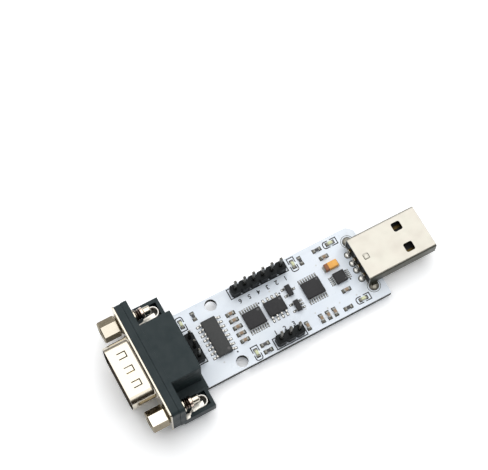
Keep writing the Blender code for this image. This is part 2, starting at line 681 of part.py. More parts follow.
def d_pins_made(mat):
    """Round pins with rounded tips that turn down through the board."""
    front = D_PLATE_FRONT - D_BOSS - D_PIN_REACH
    bend = 1.1 * MM
    r = D_PIN_DIAMETER / 2
    for i, (y, z, x) in enumerate(d_pins()):
        path = [(front, z, 0.45), (front + 0.18 * MM, z, 0.8), (front + 0.5 * MM, z, 1.0)]
        for k in range(5):
            a = pi / 2 * k / 4
            path.append((x - bend + bend * sin(a), z - bend + bend * cos(a), 1.0))
        path += [(x, TAIL_END + 0.3 * MM, 1.0), (x, TAIL_END, 0.6)]
        curve = bpy.data.curves.new(f"dsub_pin_{i + 1}", "CURVE")
        curve.dimensions = "3D"
        curve.bevel_depth = r
        curve.bevel_resolution = 1
        curve.use_fill_caps = True
        spline = curve.splines.new("POLY")
        spline.points.add(len(path) - 1)
        for point, (px, pz, size) in zip(spline.points, path):
            point.co = (px, y, pz, 1.0)
            point.radius = size
        pin = bpy.data.objects.new(f"dsub_pin_{i + 1}", curve)
        curve.materials.append(mat)
        parts.objects.link(pin)


def d_housing(mat):
    """Rear moulding: flange, closed box over the pins, skirt on the board and
    two open trays for the jackscrews."""
    body = plate("dsub_housing", [flange_outline(3, 1.0 * MM)], D_REAR_FLANGE, mat,
                 along="X", at=D_SPLIT)
    flush = 0.03 * MM
    top = D_AXIS + D_FLANGE_HEIGHT / 2 - flush
    floor = D_AXIS - D_FLANGE_HEIGHT / 2 + flush
    half, wall = D_HOUSING_WIDTH / 2, D_HOUSING_WALL
    into = D_REAR - D_REAR_FLANGE / 2
    boolean(body, block("housing_box", (into, HOUSING_REAR), (-half, half),
                        (SEAT + D_SKIRT_HEIGHT / 2, top), bevel=0.25 * MM, segments=2), "UNION")
    skirt = EAR_INNER + D_EAR_INNER_WALL / 2
    boolean(body, block("housing_skirt", (into + 0.1 * MM, SKIRT_REAR), (-skirt, skirt),
                        (SEAT, D_SKIRT_HEIGHT)), "UNION")
    outer = EAR_OUTER - flush
    for side, tag in ((1, "left"), (-1, "right")):
        ys = sorted((side * EAR_INNER, side * outer))
        boolean(body, block("ear_" + tag, (into + 0.2 * MM, HOUSING_REAR - 0.05 * MM), ys,
                            (floor, floor + D_EAR_HEIGHT)), "UNION")
    hollow(body, "pin_hollow", (D_REAR - 0.2 * MM, HOUSING_REAR - wall), (wall - half, half - wall),
           (-MM, top - wall))
    reach = 2.5 * D_PIN_PITCH
    hollow(body, "pin_window", (D_SPLIT - MM, D_REAR + MM), (-reach, reach),
           (D_AXIS - D_ROW_GAP / 2 - D_PIN_DIAMETER, D_AXIS + D_ROW_GAP / 2 + D_PIN_DIAMETER))
    for side, tag in ((1, "left"), (-1, "right")):
        ys = sorted((side * (EAR_INNER + D_EAR_INNER_WALL), side * (outer - D_EAR_WALL)))
        hollow(body, "ear_hollow_" + tag, (D_REAR - flush, HOUSING_REAR - D_EAR_WALL), ys,
               (floor + D_EAR_FLOOR, floor + 2 * D_EAR_HEIGHT))
    bm = bmesh.new()
    for y, _ in screw_places():
        rod(bm, (D_SPLIT, y, D_AXIS), "X", SCREW_DIAMETER / 2 + 2 * SLIP, 4 * MM, 20)
    for y in (CLIP_Y, -CLIP_Y):
        rod(bm, (EYELET_X, y, floor), "Z", EYELET_BORE / 2 + EYELET_WALL + SLIP, 4 * MM, 16)
    boolean(body, add_object("housing_bores", mesh_from(bm, "housing_bores")))
    return body


def hollow(body, name, x, y, z):
    boolean(body, block(name, x, y, z))


def jackscrews(steel):
    """Hex standoff heads with a threaded mouth, a plain shank through the
    flanges, and in the ear a thread with a thinner plain point."""
    face = D_PLATE_FRONT - SEAT
    rear = D_REAR + SCREW_TAIL
    r, root, point = SCREW_DIAMETER / 2, SCREW_DIAMETER / 2 - THREAD_DEPTH, POINT_DIAMETER / 2
    step = rear - POINT_LENGTH
    for y, tag in screw_places():
        profile = [(face - 1.2 * MM, 0.0), (face - 1.2 * MM, r), (D_REAR, r)]
        x = D_REAR + 0.15 * MM
        while x + THREAD_PITCH < step - 0.3 * MM:
            profile += [(x, root), (x + THREAD_PITCH / 2, r)]
            x += THREAD_PITCH
        profile += [(x, root), (x + 0.15 * MM, r), (step, r), (step + 0.15 * MM, point),
                    (rear - 0.25 * MM, point), (rear, point - 0.25 * MM), (rear, 0.0)]
        screw = turned("jackscrew_" + tag, profile, steel, 14, at=(0, y, D_AXIS))
        bm = bmesh.new()
        hexagon(bm, face - HEX_LENGTH, face, y, HEX_TURNS[tag])
        head = add_object("hex_head_" + tag, mesh_from(bm, "hex_head_" + tag))
        boolean(screw, head, "UNION")
        bore = turned("hex_bore_" + tag, [
            (face - HEX_LENGTH - MM, 0.0), (face - HEX_LENGTH - MM, SCREW_BORE / 2 + 0.35 * MM),
            (face - HEX_LENGTH, SCREW_BORE / 2 + 0.35 * MM), (face - HEX_LENGTH + 0.35 * MM, SCREW_BORE / 2),
            (face - HEX_LENGTH + SCREW_BORE_DEPTH - 0.6 * MM, SCREW_BORE / 2),
            (face - HEX_LENGTH + SCREW_BORE_DEPTH, 0.0)], None, 14, at=(0, y, D_AXIS))
        boolean(screw, bore)


def hexagon(bm, x0, x1, y, turn):
    """Hex prism whose top flat is turned towards -Y, with its rims turned down."""
    radius = HEX_FLATS / 2 / cos(pi / 6)
    made = bmesh.ops.create_cone(bm, cap_ends=True, segments=6, radius1=radius, radius2=radius,
                                 depth=x1 - x0,
                                 matrix=Matrix.Translation(((x0 + x1) / 2, y, D_AXIS))
                                 @ Matrix.Rotation(turn, 4, "X") @ Matrix.Rotation(pi / 2, 4, "Y"))["verts"]
    rims = [e for e in bm.edges if abs(e.verts[0].co.x - e.verts[1].co.x) < 1e-7
            and e.verts[0] in made]
    bmesh.ops.bevel(bm, geom=rims, offset=0.3 * MM, segments=1, affect="EDGES", profile=0.5)


def clips(steel, tin):
    """In each ear a hairpin strip on edge round an eyelet in the floor."""
    floor = D_AXIS - D_FLANGE_HEIGHT / 2 + D_EAR_FLOOR
    bore = EYELET_BORE / 2
    lip = bore + EYELET_WALL + EYELET_LIP
    for y, tag in ((CLIP_Y, "left"), (-CLIP_Y, "right")):
        low = floor - D_EAR_FLOOR - 0.5 * MM
        wall = turned("eyelet_" + tag, [
            (low, bore), (low, bore + EYELET_WALL), (floor + SEAT, bore + EYELET_WALL),
            (floor + SEAT, lip), (floor + SEAT + 0.3 * MM, lip), (floor + SEAT + 0.45 * MM, bore + 0.3 * (lip - bore)),
            (floor + SEAT + 0.3 * MM, bore), (low, bore)], tin, 16, "Z", at=(EYELET_X, y, 0))
        hairpin(tag, y, lip + SLIP, floor + SEAT, steel)


def hairpin(tag, y, inner, low, steel):
    """Plan outline: two arms from the flange joined by a half ring."""
    t = CLIP_SHEET
    start = D_REAR + 0.25 * MM
    centre = (EYELET_X, y)
    outer_arc, inner_arc = [], []
    for k in range(9):
        a = -pi / 2 + pi * k / 8
        outer_arc.append((centre[0] + (inner + t) * cos(a), y + (inner + t) * sin(a)))
        inner_arc.append((centre[0] + inner * cos(a), y + inner * sin(a)))
    outline = ([(start, y - inner - t)] + outer_arc + [(start, y + inner + t), (start, y + inner)]
               + inner_arc[::-1] + [(start, y - inner)])
    plate("boardlock_" + tag, [outline], CLIP_HEIGHT, steel, at=low)


# Chips with gull-wing leads

def chip(name, x, y, length, width, height, pitch, span, lead, sides, mat, across):
    """A moulded body with leads along its two long sides. sides holds the lead
    slots of each side; across turns the rows to run along Y."""
    bm = bmesh.new()
    gap, mid = 0.1 * MM, 0.1 * MM + height * 0.45
    box(bm, (-length / 2, length / 2), (-width / 2, width / 2), (mid - 0.05 * MM, mid + 0.05 * MM))
    for up, z in ((1, gap + height), (-1, gap)):
        face = max(bm.faces, key=lambda f: up * f.calc_center_median().z)
        grown = bmesh.ops.extrude_discrete_faces(bm, faces=[face])["faces"][0]
        shrink = 0.12 * (z - mid) * up
        for v in grown.verts:
            v.co.z = z
            v.co.x -= shrink * (1 if v.co.x > 0 else -1)
            v.co.y -= shrink * (1 if v.co.y > 0 else -1)
    body = add_object(name, mesh_from(bm, name), mat)
    bm = bmesh.new()
    for side, slots in zip((1, -1), sides):
        for slot in slots:
            gull_lead(bm, slot * pitch, side, width / 2, span / 2, mid, lead)
    leads = add_object(name + "_leads", mesh_from(bm, name + "_leads"))
    boolean(body, leads, "UNION")
    for obj in (body, leads):
        obj.location = (x, y, SEAT)
        obj.rotation_euler.z = pi / 2 if across else 0.0
    return body


def gull_lead(bm, x, side, root, tip, mid, wide):
    """One bent lead: out of the body, down, and a foot along the board."""
    t = min(0.2 * MM, wide * 0.6)
    run = tip - root
    knee, ankle = root + run * 0.3, root + run * 0.55
    shape = [(root - 0.3 * MM, mid - t / 2), (knee - t / 2, mid - t / 2), (ankle - t / 2, 0.0),
             (tip, 0.0), (tip, t), (ankle + t / 2, t), (knee + t / 2, mid + t / 2),
             (root - 0.3 * MM, mid + t / 2)]
    verts = [bm.verts.new((x - wide / 2, side * y, z)) for y, z in shape]
    face = bm.faces.new(verts)
    grown = bmesh.ops.extrude_face_region(bm, geom=[face])["geom"]
    moved = [v for v in grown if isinstance(v, bmesh.types.BMVert)]
    bmesh.ops.translate(bm, verts=moved, vec=(wide, 0, 0))


def slots(count):
    return [i - (count - 1) / 2 for i in range(count)]


def chips():
    black = material("chip moulding", (0.045, 0.045, 0.05), 0.45)
    chip("soic_16", MIDDLE_ROW["soic 16"], 0.0, SOIC_16_LENGTH, SOIC_WIDTH, SOIC_HEIGHT, SOIC_PITCH, SOIC_SPAN,
         SOIC_LEAD, (slots(8), slots(8)), black, True)
    chip("soic_8", MIDDLE_ROW["soic 8"], 0.0, SOIC_8_LENGTH, SOIC_WIDTH, SOIC_HEIGHT, SOIC_PITCH, SOIC_SPAN,
         SOIC_LEAD, (slots(4), slots(4)), black, False)
    for name, x in (("tssop_16_a", MIDDLE_ROW["tssop a"]), ("tssop_16_b", MIDDLE_ROW["tssop b"])):
        chip(name, x, -0.1 * MM, TSSOP_LENGTH, TSSOP_WIDTH, TSSOP_HEIGHT, TSSOP_PITCH,
             TSSOP_SPAN, TSSOP_LEAD, (slots(8), slots(8)), black, False)
    chip("msop_10", MIDDLE_ROW["msop"], -0.75 * MM, MSOP_SIDE, MSOP_SIDE, TSSOP_HEIGHT, MSOP_PITCH,
         MSOP_SPAN, 0.2 * MM, (slots(5), slots(5)), black, True)
    chip("sot_23_3", MIDDLE_ROW["sots"], SOT_OFFSET, SOT_LENGTH, SOT_WIDTH, SOT_HEIGHT, SOT_PITCH, SOT_SPAN,
         SOIC_LEAD, ((-1, 1), (0,)), black, True)
    chip("sot_23_5", MIDDLE_ROW["sots"], -SOT_OFFSET, SOT_LENGTH, SOT_WIDTH, SOT_HEIGHT, SOT_PITCH, SOT_SPAN,
         SOIC_LEAD, ((-1, 1), (-1, 0, 1)), black, True)


def tantalum():
    amber = material("tantalum moulding", (0.80, 0.42, 0.08), 0.45)
    x, y, h = MIDDLE_ROW["msop"] - 0.57 * MM, 2.85 * MM, TANTALUM_HEIGHT
    bm = bmesh.new()
    long, wide = TANTALUM_LENGTH / 2, TANTALUM_WIDTH / 2
    box(bm, (x - long, x + long), (y - wide, y + wide), (SEAT + 0.1 * MM, SEAT + h))
    bmesh.ops.bevel(bm, geom=bm.edges[:], offset=0.12 * MM, segments=1, affect="EDGES")
    body = add_object("tantalum_capacitor", mesh_from(bm, "tantalum_capacitor"), amber)
    bm = bmesh.new()
    for side in (1, -1):
        xs = sorted((x + side * (long - 0.5 * MM), x + side * (long + 0.1 * MM)))
        box(bm, xs, (y - wide * 0.65, y + wide * 0.65), (SEAT, SEAT + 0.75 * MM))
    boolean(body, add_object("tantalum_ends", mesh_from(bm, "tantalum_ends")), "UNION")
    return body


def leds():
    """Chip LEDs: a flat carrier with a smaller clear lens on top."""
    lens = material("led lens", (0.85, 0.88, 0.55), 0.3)
    edge = EDGE
    places = (("led_serial", LEFT_ROW["led serial"], edge - 3.05 * MM, True),
              ("led_bus", RIGHT_ROW["led bus"], 2.17 * MM - edge, True),
              ("led_ttl", LEFT_ROW["led ttl"], edge - 2.35 * MM, True),
              ("led_usb", LEFT_ROW["led usb"], edge - 1.8 * MM, False),
              ("led_power", RIGHT_ROW["led power"], 1.95 * MM - edge, False))
    for name, x, y, across in places:
        long, wide = CHIP_LENGTH / 2, CHIP_WIDTH / 2
        bm = bmesh.new()
        box(bm, (-long, long), (-wide, wide), (0.0, 0.3 * MM))
        face = max(bm.faces, key=lambda f: f.calc_center_median().z)
        inner = bmesh.ops.extrude_discrete_faces(bm, faces=[face])["faces"][0]
        for v in inner.verts:
            v.co.x *= 0.66
        grown = bmesh.ops.extrude_discrete_faces(bm, faces=[inner])["faces"][0]
        for v in grown.verts:
            v.co.x *= 0.92
            v.co.y *= 0.92
            v.co.z = LED_HEIGHT
        obj = add_object(name, mesh_from(bm, name), lens)
        obj.location = (x, y, SEAT)
        obj.rotation_euler.z = pi / 2 if across else 0.0


def place_module():
    """Carry every piece on one empty, so that the frame's origin is under the
    middle of the whole module, on the surface that the pin tails touch."""
    frame = bpy.data.objects.new("module_origin", None)
    bpy.context.scene.collection.objects.link(frame)
    for obj in list(parts.objects) + list(cutters.objects):
        obj.parent = frame
    frame.location = (-(USB_FRONT + D_FRONT) / 2, 0.0, -TAIL_END)
    bpy.context.view_layer.update()


def build():
    start_scene()
    nickel = material("nickel plated steel", (0.78, 0.77, 0.74), 0.28, 1.0)
    bright = material("USB shell tin", (0.83, 0.80, 0.75), 0.35, 1.0)
    gold = material("contact gold", (0.85, 0.66, 0.32), 0.3, 1.0)
    tin = material("solder tin", (0.72, 0.72, 0.72), 0.35, 1.0)
    charcoal = material("connector plastic", (0.045, 0.055, 0.058), 0.6)
    dark = material("insulator plastic", (0.02, 0.022, 0.024), 0.55)
    board()
    headers()
    usb_shell(bright)
    usb_insulator(dark)
    usb_contacts(gold)
    d_shell(nickel)
    d_insulator(charcoal)
    d_pins_made(gold)
    d_housing(charcoal)
    jackscrews(nickel)
    clips(nickel, tin)
    chips()
    tantalum()
    leds()
    place_module()


build()
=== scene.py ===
# %% [markdown]
# # USB to serial adapter
# A bare white circuit board carries a USB plug at one end and a nine-way D
# connector at the other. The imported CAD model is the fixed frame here, and
# every visible piece is made again around it with real edges and finishes.

# %% Load the frame
from math import pi, radians
import bpy
import bmesh
from mathutils import Matrix, Quaternion, Vector


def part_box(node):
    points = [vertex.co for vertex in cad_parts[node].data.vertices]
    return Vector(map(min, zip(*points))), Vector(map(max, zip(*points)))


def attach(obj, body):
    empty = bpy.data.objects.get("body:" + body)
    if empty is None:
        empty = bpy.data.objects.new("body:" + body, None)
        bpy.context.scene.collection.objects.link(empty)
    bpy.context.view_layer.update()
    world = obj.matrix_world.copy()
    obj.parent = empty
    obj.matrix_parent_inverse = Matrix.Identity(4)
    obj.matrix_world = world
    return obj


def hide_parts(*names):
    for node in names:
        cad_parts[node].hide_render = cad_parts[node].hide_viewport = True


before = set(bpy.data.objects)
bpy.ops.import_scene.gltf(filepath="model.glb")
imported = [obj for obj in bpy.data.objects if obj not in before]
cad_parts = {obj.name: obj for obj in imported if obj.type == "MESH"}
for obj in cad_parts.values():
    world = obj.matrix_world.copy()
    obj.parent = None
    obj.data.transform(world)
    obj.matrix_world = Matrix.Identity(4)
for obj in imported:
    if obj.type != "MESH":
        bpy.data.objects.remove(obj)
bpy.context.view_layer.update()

MM = 0.001
ROOT = "root"
BOARD_TOP, BOARD_UNDER = 2.9, 1.3  # heights of the two faces, mm
BOARD_LEFT, BOARD_RIGHT = (corner.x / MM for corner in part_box("circuit_board"))
MIDDLE = (BOARD_LEFT + BOARD_RIGHT) / 2  # places on the board are given from here

# %% [markdown]
# Everything below is modelled with the tools that a person would pick in the
# edit menus. Blender's operators act on whatever is selected, so each helper
# first clears the selection, and then selects faces by their place in code.

# %% Helpers for selecting, editing and joining

def only(*pieces):
    """Select these pieces and nothing else; the first one is active."""
    if bpy.context.object and bpy.context.object.mode != "OBJECT":
        bpy.ops.object.mode_set(mode="OBJECT")
    bpy.ops.object.select_all(action="DESELECT")
    for piece in pieces:
        piece.select_set(True)
    bpy.context.view_layer.objects.active = pieces[0]


def edit(piece, kind="FACE"):
    """Open a piece in edit mode with nothing selected."""
    only(piece)
    bpy.ops.object.mode_set(mode="EDIT")
    bpy.ops.mesh.select_mode(type=kind)
    bpy.ops.mesh.select_all(action="DESELECT")


def pick(piece, test, kind="faces"):
    """Select the faces, edges or verts that pass a test on their middle, mm."""
    mesh = bmesh.from_edit_mesh(piece.data)
    count = 0
    for item in getattr(mesh, kind):
        if kind == "verts":
            middle = item.co
        elif kind == "edges":
            middle = (item.verts[0].co + item.verts[1].co) / 2
        else:
            middle = item.calc_center_median()
        normal = getattr(item, "normal", None)
        if test(middle / MM, normal):
            item.select_set(True)
            count += 1
    mesh.select_flush_mode()
    bmesh.update_edit_mesh(piece.data)
    return count


def close(piece):
    """Leave edit mode."""
    bpy.ops.object.mode_set(mode="OBJECT")
    return piece


def slice_all(place, way, **settings):
    """Cut through all of the piece in edit mode, along a plane at place, mm."""
    bpy.ops.mesh.select_all(action="SELECT")
    bpy.ops.mesh.bisect(plane_co=Vector(place) * MM, plane_no=way, **settings)


def modify(piece, kind, **settings):
    """Add a modifier with these settings and apply it."""
    only(piece)
    made = piece.modifiers.new(kind.lower(), kind)
    for key, value in settings.items():
        setattr(made, key, value)
    bpy.ops.object.modifier_apply(modifier=made.name)
    return piece


def round_edges(piece, width, steps=2, angle=30):
    """Bevel the edges that turn by more than an angle. width is in mm."""
    return modify(piece, "BEVEL", width=width * MM, segments=steps, limit_method="ANGLE",
                  angle_limit=radians(angle))


def join(name, pieces):
    """Join pieces into one with this name."""
    only(*pieces)
    if len(pieces) > 1:
        bpy.ops.object.join()
    joined = bpy.context.object
    joined.name = joined.data.name = name
    return joined


def copy_to(piece, place, turn=0.0):
    """A copy with its own mesh, turned about Z and moved by place, in mm."""
    twin = piece.copy()
    twin.data = piece.data.copy()
    bpy.context.collection.objects.link(twin)
    twin.data.transform(Matrix.Translation(Vector(place) * MM) @ Matrix.Rotation(turn, 4, "Z"))
    return twin


def smooth(piece, angle=35):
    """Shade smooth, apart from edges that turn by more than an angle."""
    only(piece)
    bpy.ops.object.shade_smooth_by_angle(angle=radians(angle))
    return piece


def settle(name):
    """Name the piece that was just added, and apply its place, turn and size."""
    piece = bpy.context.object
    piece.name = name
    bpy.ops.object.transform_apply(location=True, rotation=True, scale=True)
    return piece


def block(name, low, high, edge=0.0, steps=2):
    """A box between two corners in mm, with its edges rounded off."""
    bpy.ops.object.select_all(action="DESELECT")
    low, high = Vector(low) * MM, Vector(high) * MM
    bpy.ops.mesh.primitive_cube_add(size=1, location=(low + high) / 2, scale=high - low)
    piece = settle(name)
    if edge:
        round_edges(piece, edge, steps)
    return piece


def rod(name, base, radius, length, sides=24, axis="Z"):
    """A cylinder that starts at base and runs along Z or X, in mm."""
    bpy.ops.object.select_all(action="DESELECT")
    along, turn = {"Z": (Vector((0, 0, 1)), 0), "X": (Vector((1, 0, 0)), pi / 2)}[axis]
    bpy.ops.mesh.primitive_cylinder_add(vertices=sides, radius=radius * MM, depth=length * MM,
                                        location=(Vector(base) + along * length / 2) * MM,
                                        rotation=(0, turn, 0))
    return settle(name)


def cut(piece, cutter):
    """Take a cutter out of a piece and delete the cutter."""
    modify(piece, "BOOLEAN", operation="DIFFERENCE", solver="EXACT", object=cutter)
    bpy.data.objects.remove(cutter, do_unlink=True)
    return piece


def wear(piece, material):
    """Give a whole piece one material."""
    piece.data.materials.clear()
    piece.data.materials.append(material)
    return piece


def second(piece, material, test):
    """Give the faces that pass a test a material of their own."""
    piece.data.materials.append(material)
    edit(piece)
    count = pick(piece, test)
    piece.active_material_index = len(piece.data.materials) - 1
    bpy.ops.object.material_slot_assign()
    close(piece)
    return count


def fit(piece, nodes=()):
    """Ride on the module, and stand for CAD nodes."""
    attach(piece, ROOT)
    if nodes:
        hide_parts(*nodes)
    return piece


# %% [markdown]
# ## Finishes
# Moulded plastic, solder mask and plated sheet all get their look from small
# changes in height and gloss. Two shader groups hold these effects: one for
# the fine grain of a mould, and one for soft patches such as handling marks.
# Each material places a group with values of its own.

# %% Shader groups

def shader_group(name, inputs, output):
    """A new group with numbers going in and one number coming out."""
    group = bpy.data.node_groups.new(name, "ShaderNodeTree")
    for label, value in inputs:
        socket = group.interface.new_socket(label, in_out="INPUT", socket_type="NodeSocketFloat")
        socket.default_value = value
    group.interface.new_socket(output, in_out="OUTPUT", socket_type="NodeSocketFloat")
    start = group.nodes.new("NodeGroupInput")
    end = group.nodes.new("NodeGroupOutput")
    return group, start, end


def hook(tree, *hooks):
    """Link sockets; each hook is a node, its output, a node and its input."""
    for source, output, target, entry in hooks:
        tree.links.new(source.outputs[output], target.inputs[entry])


def noise_group(name, detail, stretch=(1, 1, 1)):
    """Noise on object coordinates, from Low to High."""
    inputs = (("Scale", 1000.0), ("Low", 0.0), ("High", 1.0))
    group, start, end = shader_group(name, inputs, "Value")
    new = group.nodes.new
    place = new("ShaderNodeTexCoord")
    mapping = new("ShaderNodeMapping")
    mapping.inputs["Scale"].default_value = stretch
    noise = new("ShaderNodeTexNoise")
    noise.inputs["Detail"].default_value = detail
    span = new("ShaderNodeMapRange")
    span.inputs["From Min"].default_value = 0.3
    span.inputs["From Max"].default_value = 0.7
    hook(group, (place, "Object", mapping, "Vector"), (mapping, "Vector", noise, "Vector"),
         (start, "Scale", noise, "Scale"), (noise, "Fac", span, "Value"),
         (start, "Low", span, "To Min"), (start, "High", span, "To Max"),
         (span, "Result", end, "Value"))
    return group


MOULD_GRAIN = noise_group("mould_grain", 3.0)
SOFT_PATCHES = noise_group("soft_patches", 2.0)
ROLLING_LINES = noise_group("rolling_lines", 4.0, (0.05, 1.0, 1.0))
print("Shader groups:", [g.name for g in (MOULD_GRAIN, SOFT_PATCHES, ROLLING_LINES)])

# %% Materials

def finish(name, colour, roughness, metallic=0.0, grain=None, patches=None, tint=None, **sockets):
    """A Principled material. grain is (group, scale, height in mm) for bump,
    patches is (group, scale, low, high) for roughness, and tint is a second
    colour that comes and goes over the surface."""
    material = bpy.data.materials.new(name)
    material.use_nodes = True
    nodes, link = material.node_tree.nodes, material.node_tree.links.new
    shader = nodes["Principled BSDF"]
    shader.inputs["Base Color"].default_value = (*colour, 1)
    shader.inputs["Roughness"].default_value = roughness
    shader.inputs["Metallic"].default_value = metallic
    for socket, value in sockets.items():
        shader.inputs[socket.replace("_", " ")].default_value = value

    def place(group, values):
        node = nodes.new("ShaderNodeGroup")
        node.node_tree = group
        for key, value in values.items():
            node.inputs[key].default_value = value
        return node.outputs["Value"]

    if patches:
        group, scale, low, high = patches
        link(place(group, {"Scale": scale, "Low": low, "High": high}), shader.inputs["Roughness"])
    if tint:
        group, scale, other = tint
        mix = nodes.new("ShaderNodeMix")
        mix.data_type = "RGBA"
        mix.inputs["A"].default_value = (*colour, 1)
        mix.inputs["B"].default_value = (*other, 1)
        link(place(group, {"Scale": scale}), mix.inputs["Factor"])
        link(mix.outputs["Result"], shader.inputs["Base Color"])
    if grain:
        group, scale, height = grain
        bump = nodes.new("ShaderNodeBump")
        bump.inputs["Distance"].default_value = height * MM
        link(place(group, {"Scale": scale}), bump.inputs["Height"])
        link(bump.outputs["Normal"], shader.inputs["Normal"])
    return material


MASK = finish("white_mask", (0.80, 0.85, 0.90), 0.32, grain=(SOFT_PATCHES, 900, 0.006),
              patches=(SOFT_PATCHES, 700, 0.26, 0.42), tint=(SOFT_PATCHES, 160, (0.77, 0.83, 0.90)))
LAMINATE = finish("board_edge", (0.024, 0.026, 0.020), 0.7, grain=(MOULD_GRAIN, 4000, 0.02),
                  tint=(ROLLING_LINES, 5000, (0.045, 0.047, 0.036)), Specular_IOR_Level=0.15)
TENTED = finish("tented_via", (0.66, 0.69, 0.70), 0.4, patches=(SOFT_PATCHES, 1500, 0.34, 0.46))
INK = finish("black_ink", (0.010, 0.010, 0.012), 0.6, grain=(MOULD_GRAIN, 6000, 0.004),
             patches=(MOULD_GRAIN, 3000, 0.5, 0.7), Specular_IOR_Level=0.2)
SOLDER = finish("solder", (0.62, 0.62, 0.60), 0.25, 1.0, grain=(SOFT_PATCHES, 2500, 0.02),
                patches=(SOFT_PATCHES, 2000, 0.16, 0.38))
BRIGHT_SOLDER = finish("bright_solder", (0.76, 0.76, 0.73), 0.42, 0.85,
                       grain=(SOFT_PATCHES, 2500, 0.02),
                       patches=(SOFT_PATCHES, 2000, 0.34, 0.5))
DULL_SOLDER = finish("dull_solder", (0.24, 0.23, 0.20), 0.45, 1.0, grain=(SOFT_PATCHES, 1800, 0.05),
                     patches=(SOFT_PATCHES, 2000, 0.32, 0.55))
LEAD = finish("tinned_lead", (0.50, 0.49, 0.46), 0.3, 1.0, patches=(SOFT_PATCHES, 3000, 0.22, 0.4))
CAP_TIN = finish("cap_tin", (0.22, 0.22, 0.205), 0.34, 1.0,
                 patches=(SOFT_PATCHES, 3000, 0.26, 0.44))
FINE_LEAD = finish("fine_lead", (0.17, 0.17, 0.16), 0.35, 1.0,
                   patches=(SOFT_PATCHES, 3000, 0.28, 0.42))
PALE_MOULDING = finish("pale_moulding", (0.048, 0.050, 0.050), 0.55,
                       grain=(MOULD_GRAIN, 9000, 0.008),
                       patches=(MOULD_GRAIN, 2500, 0.46, 0.62), Specular_IOR_Level=0.25)
MOULDING = finish("chip_moulding", (0.022, 0.022, 0.024), 0.5, grain=(MOULD_GRAIN, 9000, 0.006),
                  patches=(MOULD_GRAIN, 2500, 0.42, 0.6), Specular_IOR_Level=0.25)
DIMPLE = finish("ejector_mark", (0.055, 0.055, 0.056), 0.3, patches=(MOULD_GRAIN, 2500, 0.24, 0.36))
CONNECTOR = finish("connector_plastic", (0.016, 0.027, 0.030), 0.55,
                   grain=(MOULD_GRAIN, 5000, 0.012),
                   patches=(SOFT_PATCHES, 500, 0.46, 0.62), Specular_IOR_Level=0.25)
HEADER = finish("header_plastic", (0.007, 0.009, 0.010), 0.46, grain=(MOULD_GRAIN, 6000, 0.012),
                patches=(SOFT_PATCHES, 900, 0.38, 0.54), Specular_IOR_Level=0.14)
INSULATOR = finish("insulator_plastic", (0.010, 0.011, 0.012), 0.5, grain=(MOULD_GRAIN, 5000, 0.01),
                   Specular_IOR_Level=0.2)
USB_TIN = finish("usb_tin", (0.43, 0.42, 0.375), 0.34, 1.0, grain=(ROLLING_LINES, 5000, 0.002),
                 patches=(SOFT_PATCHES, 400, 0.28, 0.40),
                 tint=(SOFT_PATCHES, 250, (0.41, 0.39, 0.35)))
# painted shade: a darker copy of the tin for the plug shell's sides
SHADED_TIN_SIDE = finish("painted_shade_tin", (0.080, 0.081, 0.064), 0.42, 1.0, grain=(ROLLING_LINES, 5000, 0.003),
                  patches=(SOFT_PATCHES, 400, 0.36, 0.5))
NICKEL = finish("bright_nickel", (0.56, 0.52, 0.44), 0.14, 1.0, grain=(SOFT_PATCHES, 500, 0.01),
                patches=(SOFT_PATCHES, 700, 0.10, 0.22))
# painted shade: a darker, browner copy of the nickel for faces that look at the dark room
SHADED_SIDE_NICKEL = finish("painted_shade_nickel", (0.24, 0.205, 0.145), 0.22, 1.0,
                     grain=(SOFT_PATCHES, 500, 0.01),
                     patches=(SOFT_PATCHES, 700, 0.18, 0.3))
SATIN_NICKEL = finish("satin_nickel", (0.80, 0.78, 0.72), 0.42, 0.85,
                      patches=(SOFT_PATCHES, 900, 0.36, 0.5))
DARK_NICKEL = finish("unlit_nickel", (0.07, 0.06, 0.05), 0.4, 1.0,
                     patches=(SOFT_PATCHES, 700, 0.3, 0.5))
# painted shade: a dark colour for the plated posts, for the dark room that they reflect
SHADED_PLATED_PIN = finish("painted_shade_pin", (0.13, 0.125, 0.11), 0.24, 1.0,
                    patches=(SOFT_PATCHES, 1500, 0.18, 0.34))
GOLD = finish("contact_gold", (0.72, 0.52, 0.22), 0.22, 1.0,
              patches=(SOFT_PATCHES, 1500, 0.16, 0.3))
SHADED_GOLD = finish("shaded_gold", (0.055, 0.038, 0.014), 0.4, 1.0,
                     patches=(SOFT_PATCHES, 1500, 0.34, 0.5))
# painted shade: a dark copy of the screw's metal for the thread; the crests keep a bright one
SHADED_THREAD_ROOT = finish("painted_shade_thread", (0.035, 0.022, 0.016), 0.35, 1.0,
                     patches=(SOFT_PATCHES, 1500, 0.3, 0.45))
THREAD_CREST = finish("thread_crest", (0.60, 0.49, 0.42), 0.2, 1.0,
                      patches=(SOFT_PATCHES, 1500, 0.14, 0.28))
CERAMIC = finish("capacitor_ceramic", (0.27, 0.18, 0.11), 0.55, grain=(MOULD_GRAIN, 9000, 0.01),
                 tint=(SOFT_PATCHES, 1500, (0.33, 0.24, 0.16)))
RESISTOR = finish("resistor_glaze", (0.018, 0.018, 0.02), 0.3,
                  patches=(SOFT_PATCHES, 2000, 0.24, 0.4))
LENS = finish("led_lens", (0.60, 0.64, 0.34), 0.22, grain=(SOFT_PATCHES, 3000, 0.01),
              tint=(SOFT_PATCHES, 1500, (0.68, 0.70, 0.46)), Coat_Weight=0.4)
CARRIER = finish("led_carrier", (0.74, 0.73, 0.64), 0.5, grain=(MOULD_GRAIN, 8000, 0.008))
print("Materials:", len(bpy.data.materials))

# %% [markdown]
# ## Softened pieces
# The CAD solids have the right shape but razor edges, and no moulding or
# pressed sheet has those. A CAD mesh is loose triangles, so a copy of it is
# merged, its flat areas become single faces, and a narrow bevel gives each
# edge the line of light that it has in life. The copy stands for its node.

# %% A softened copy of a CAD node

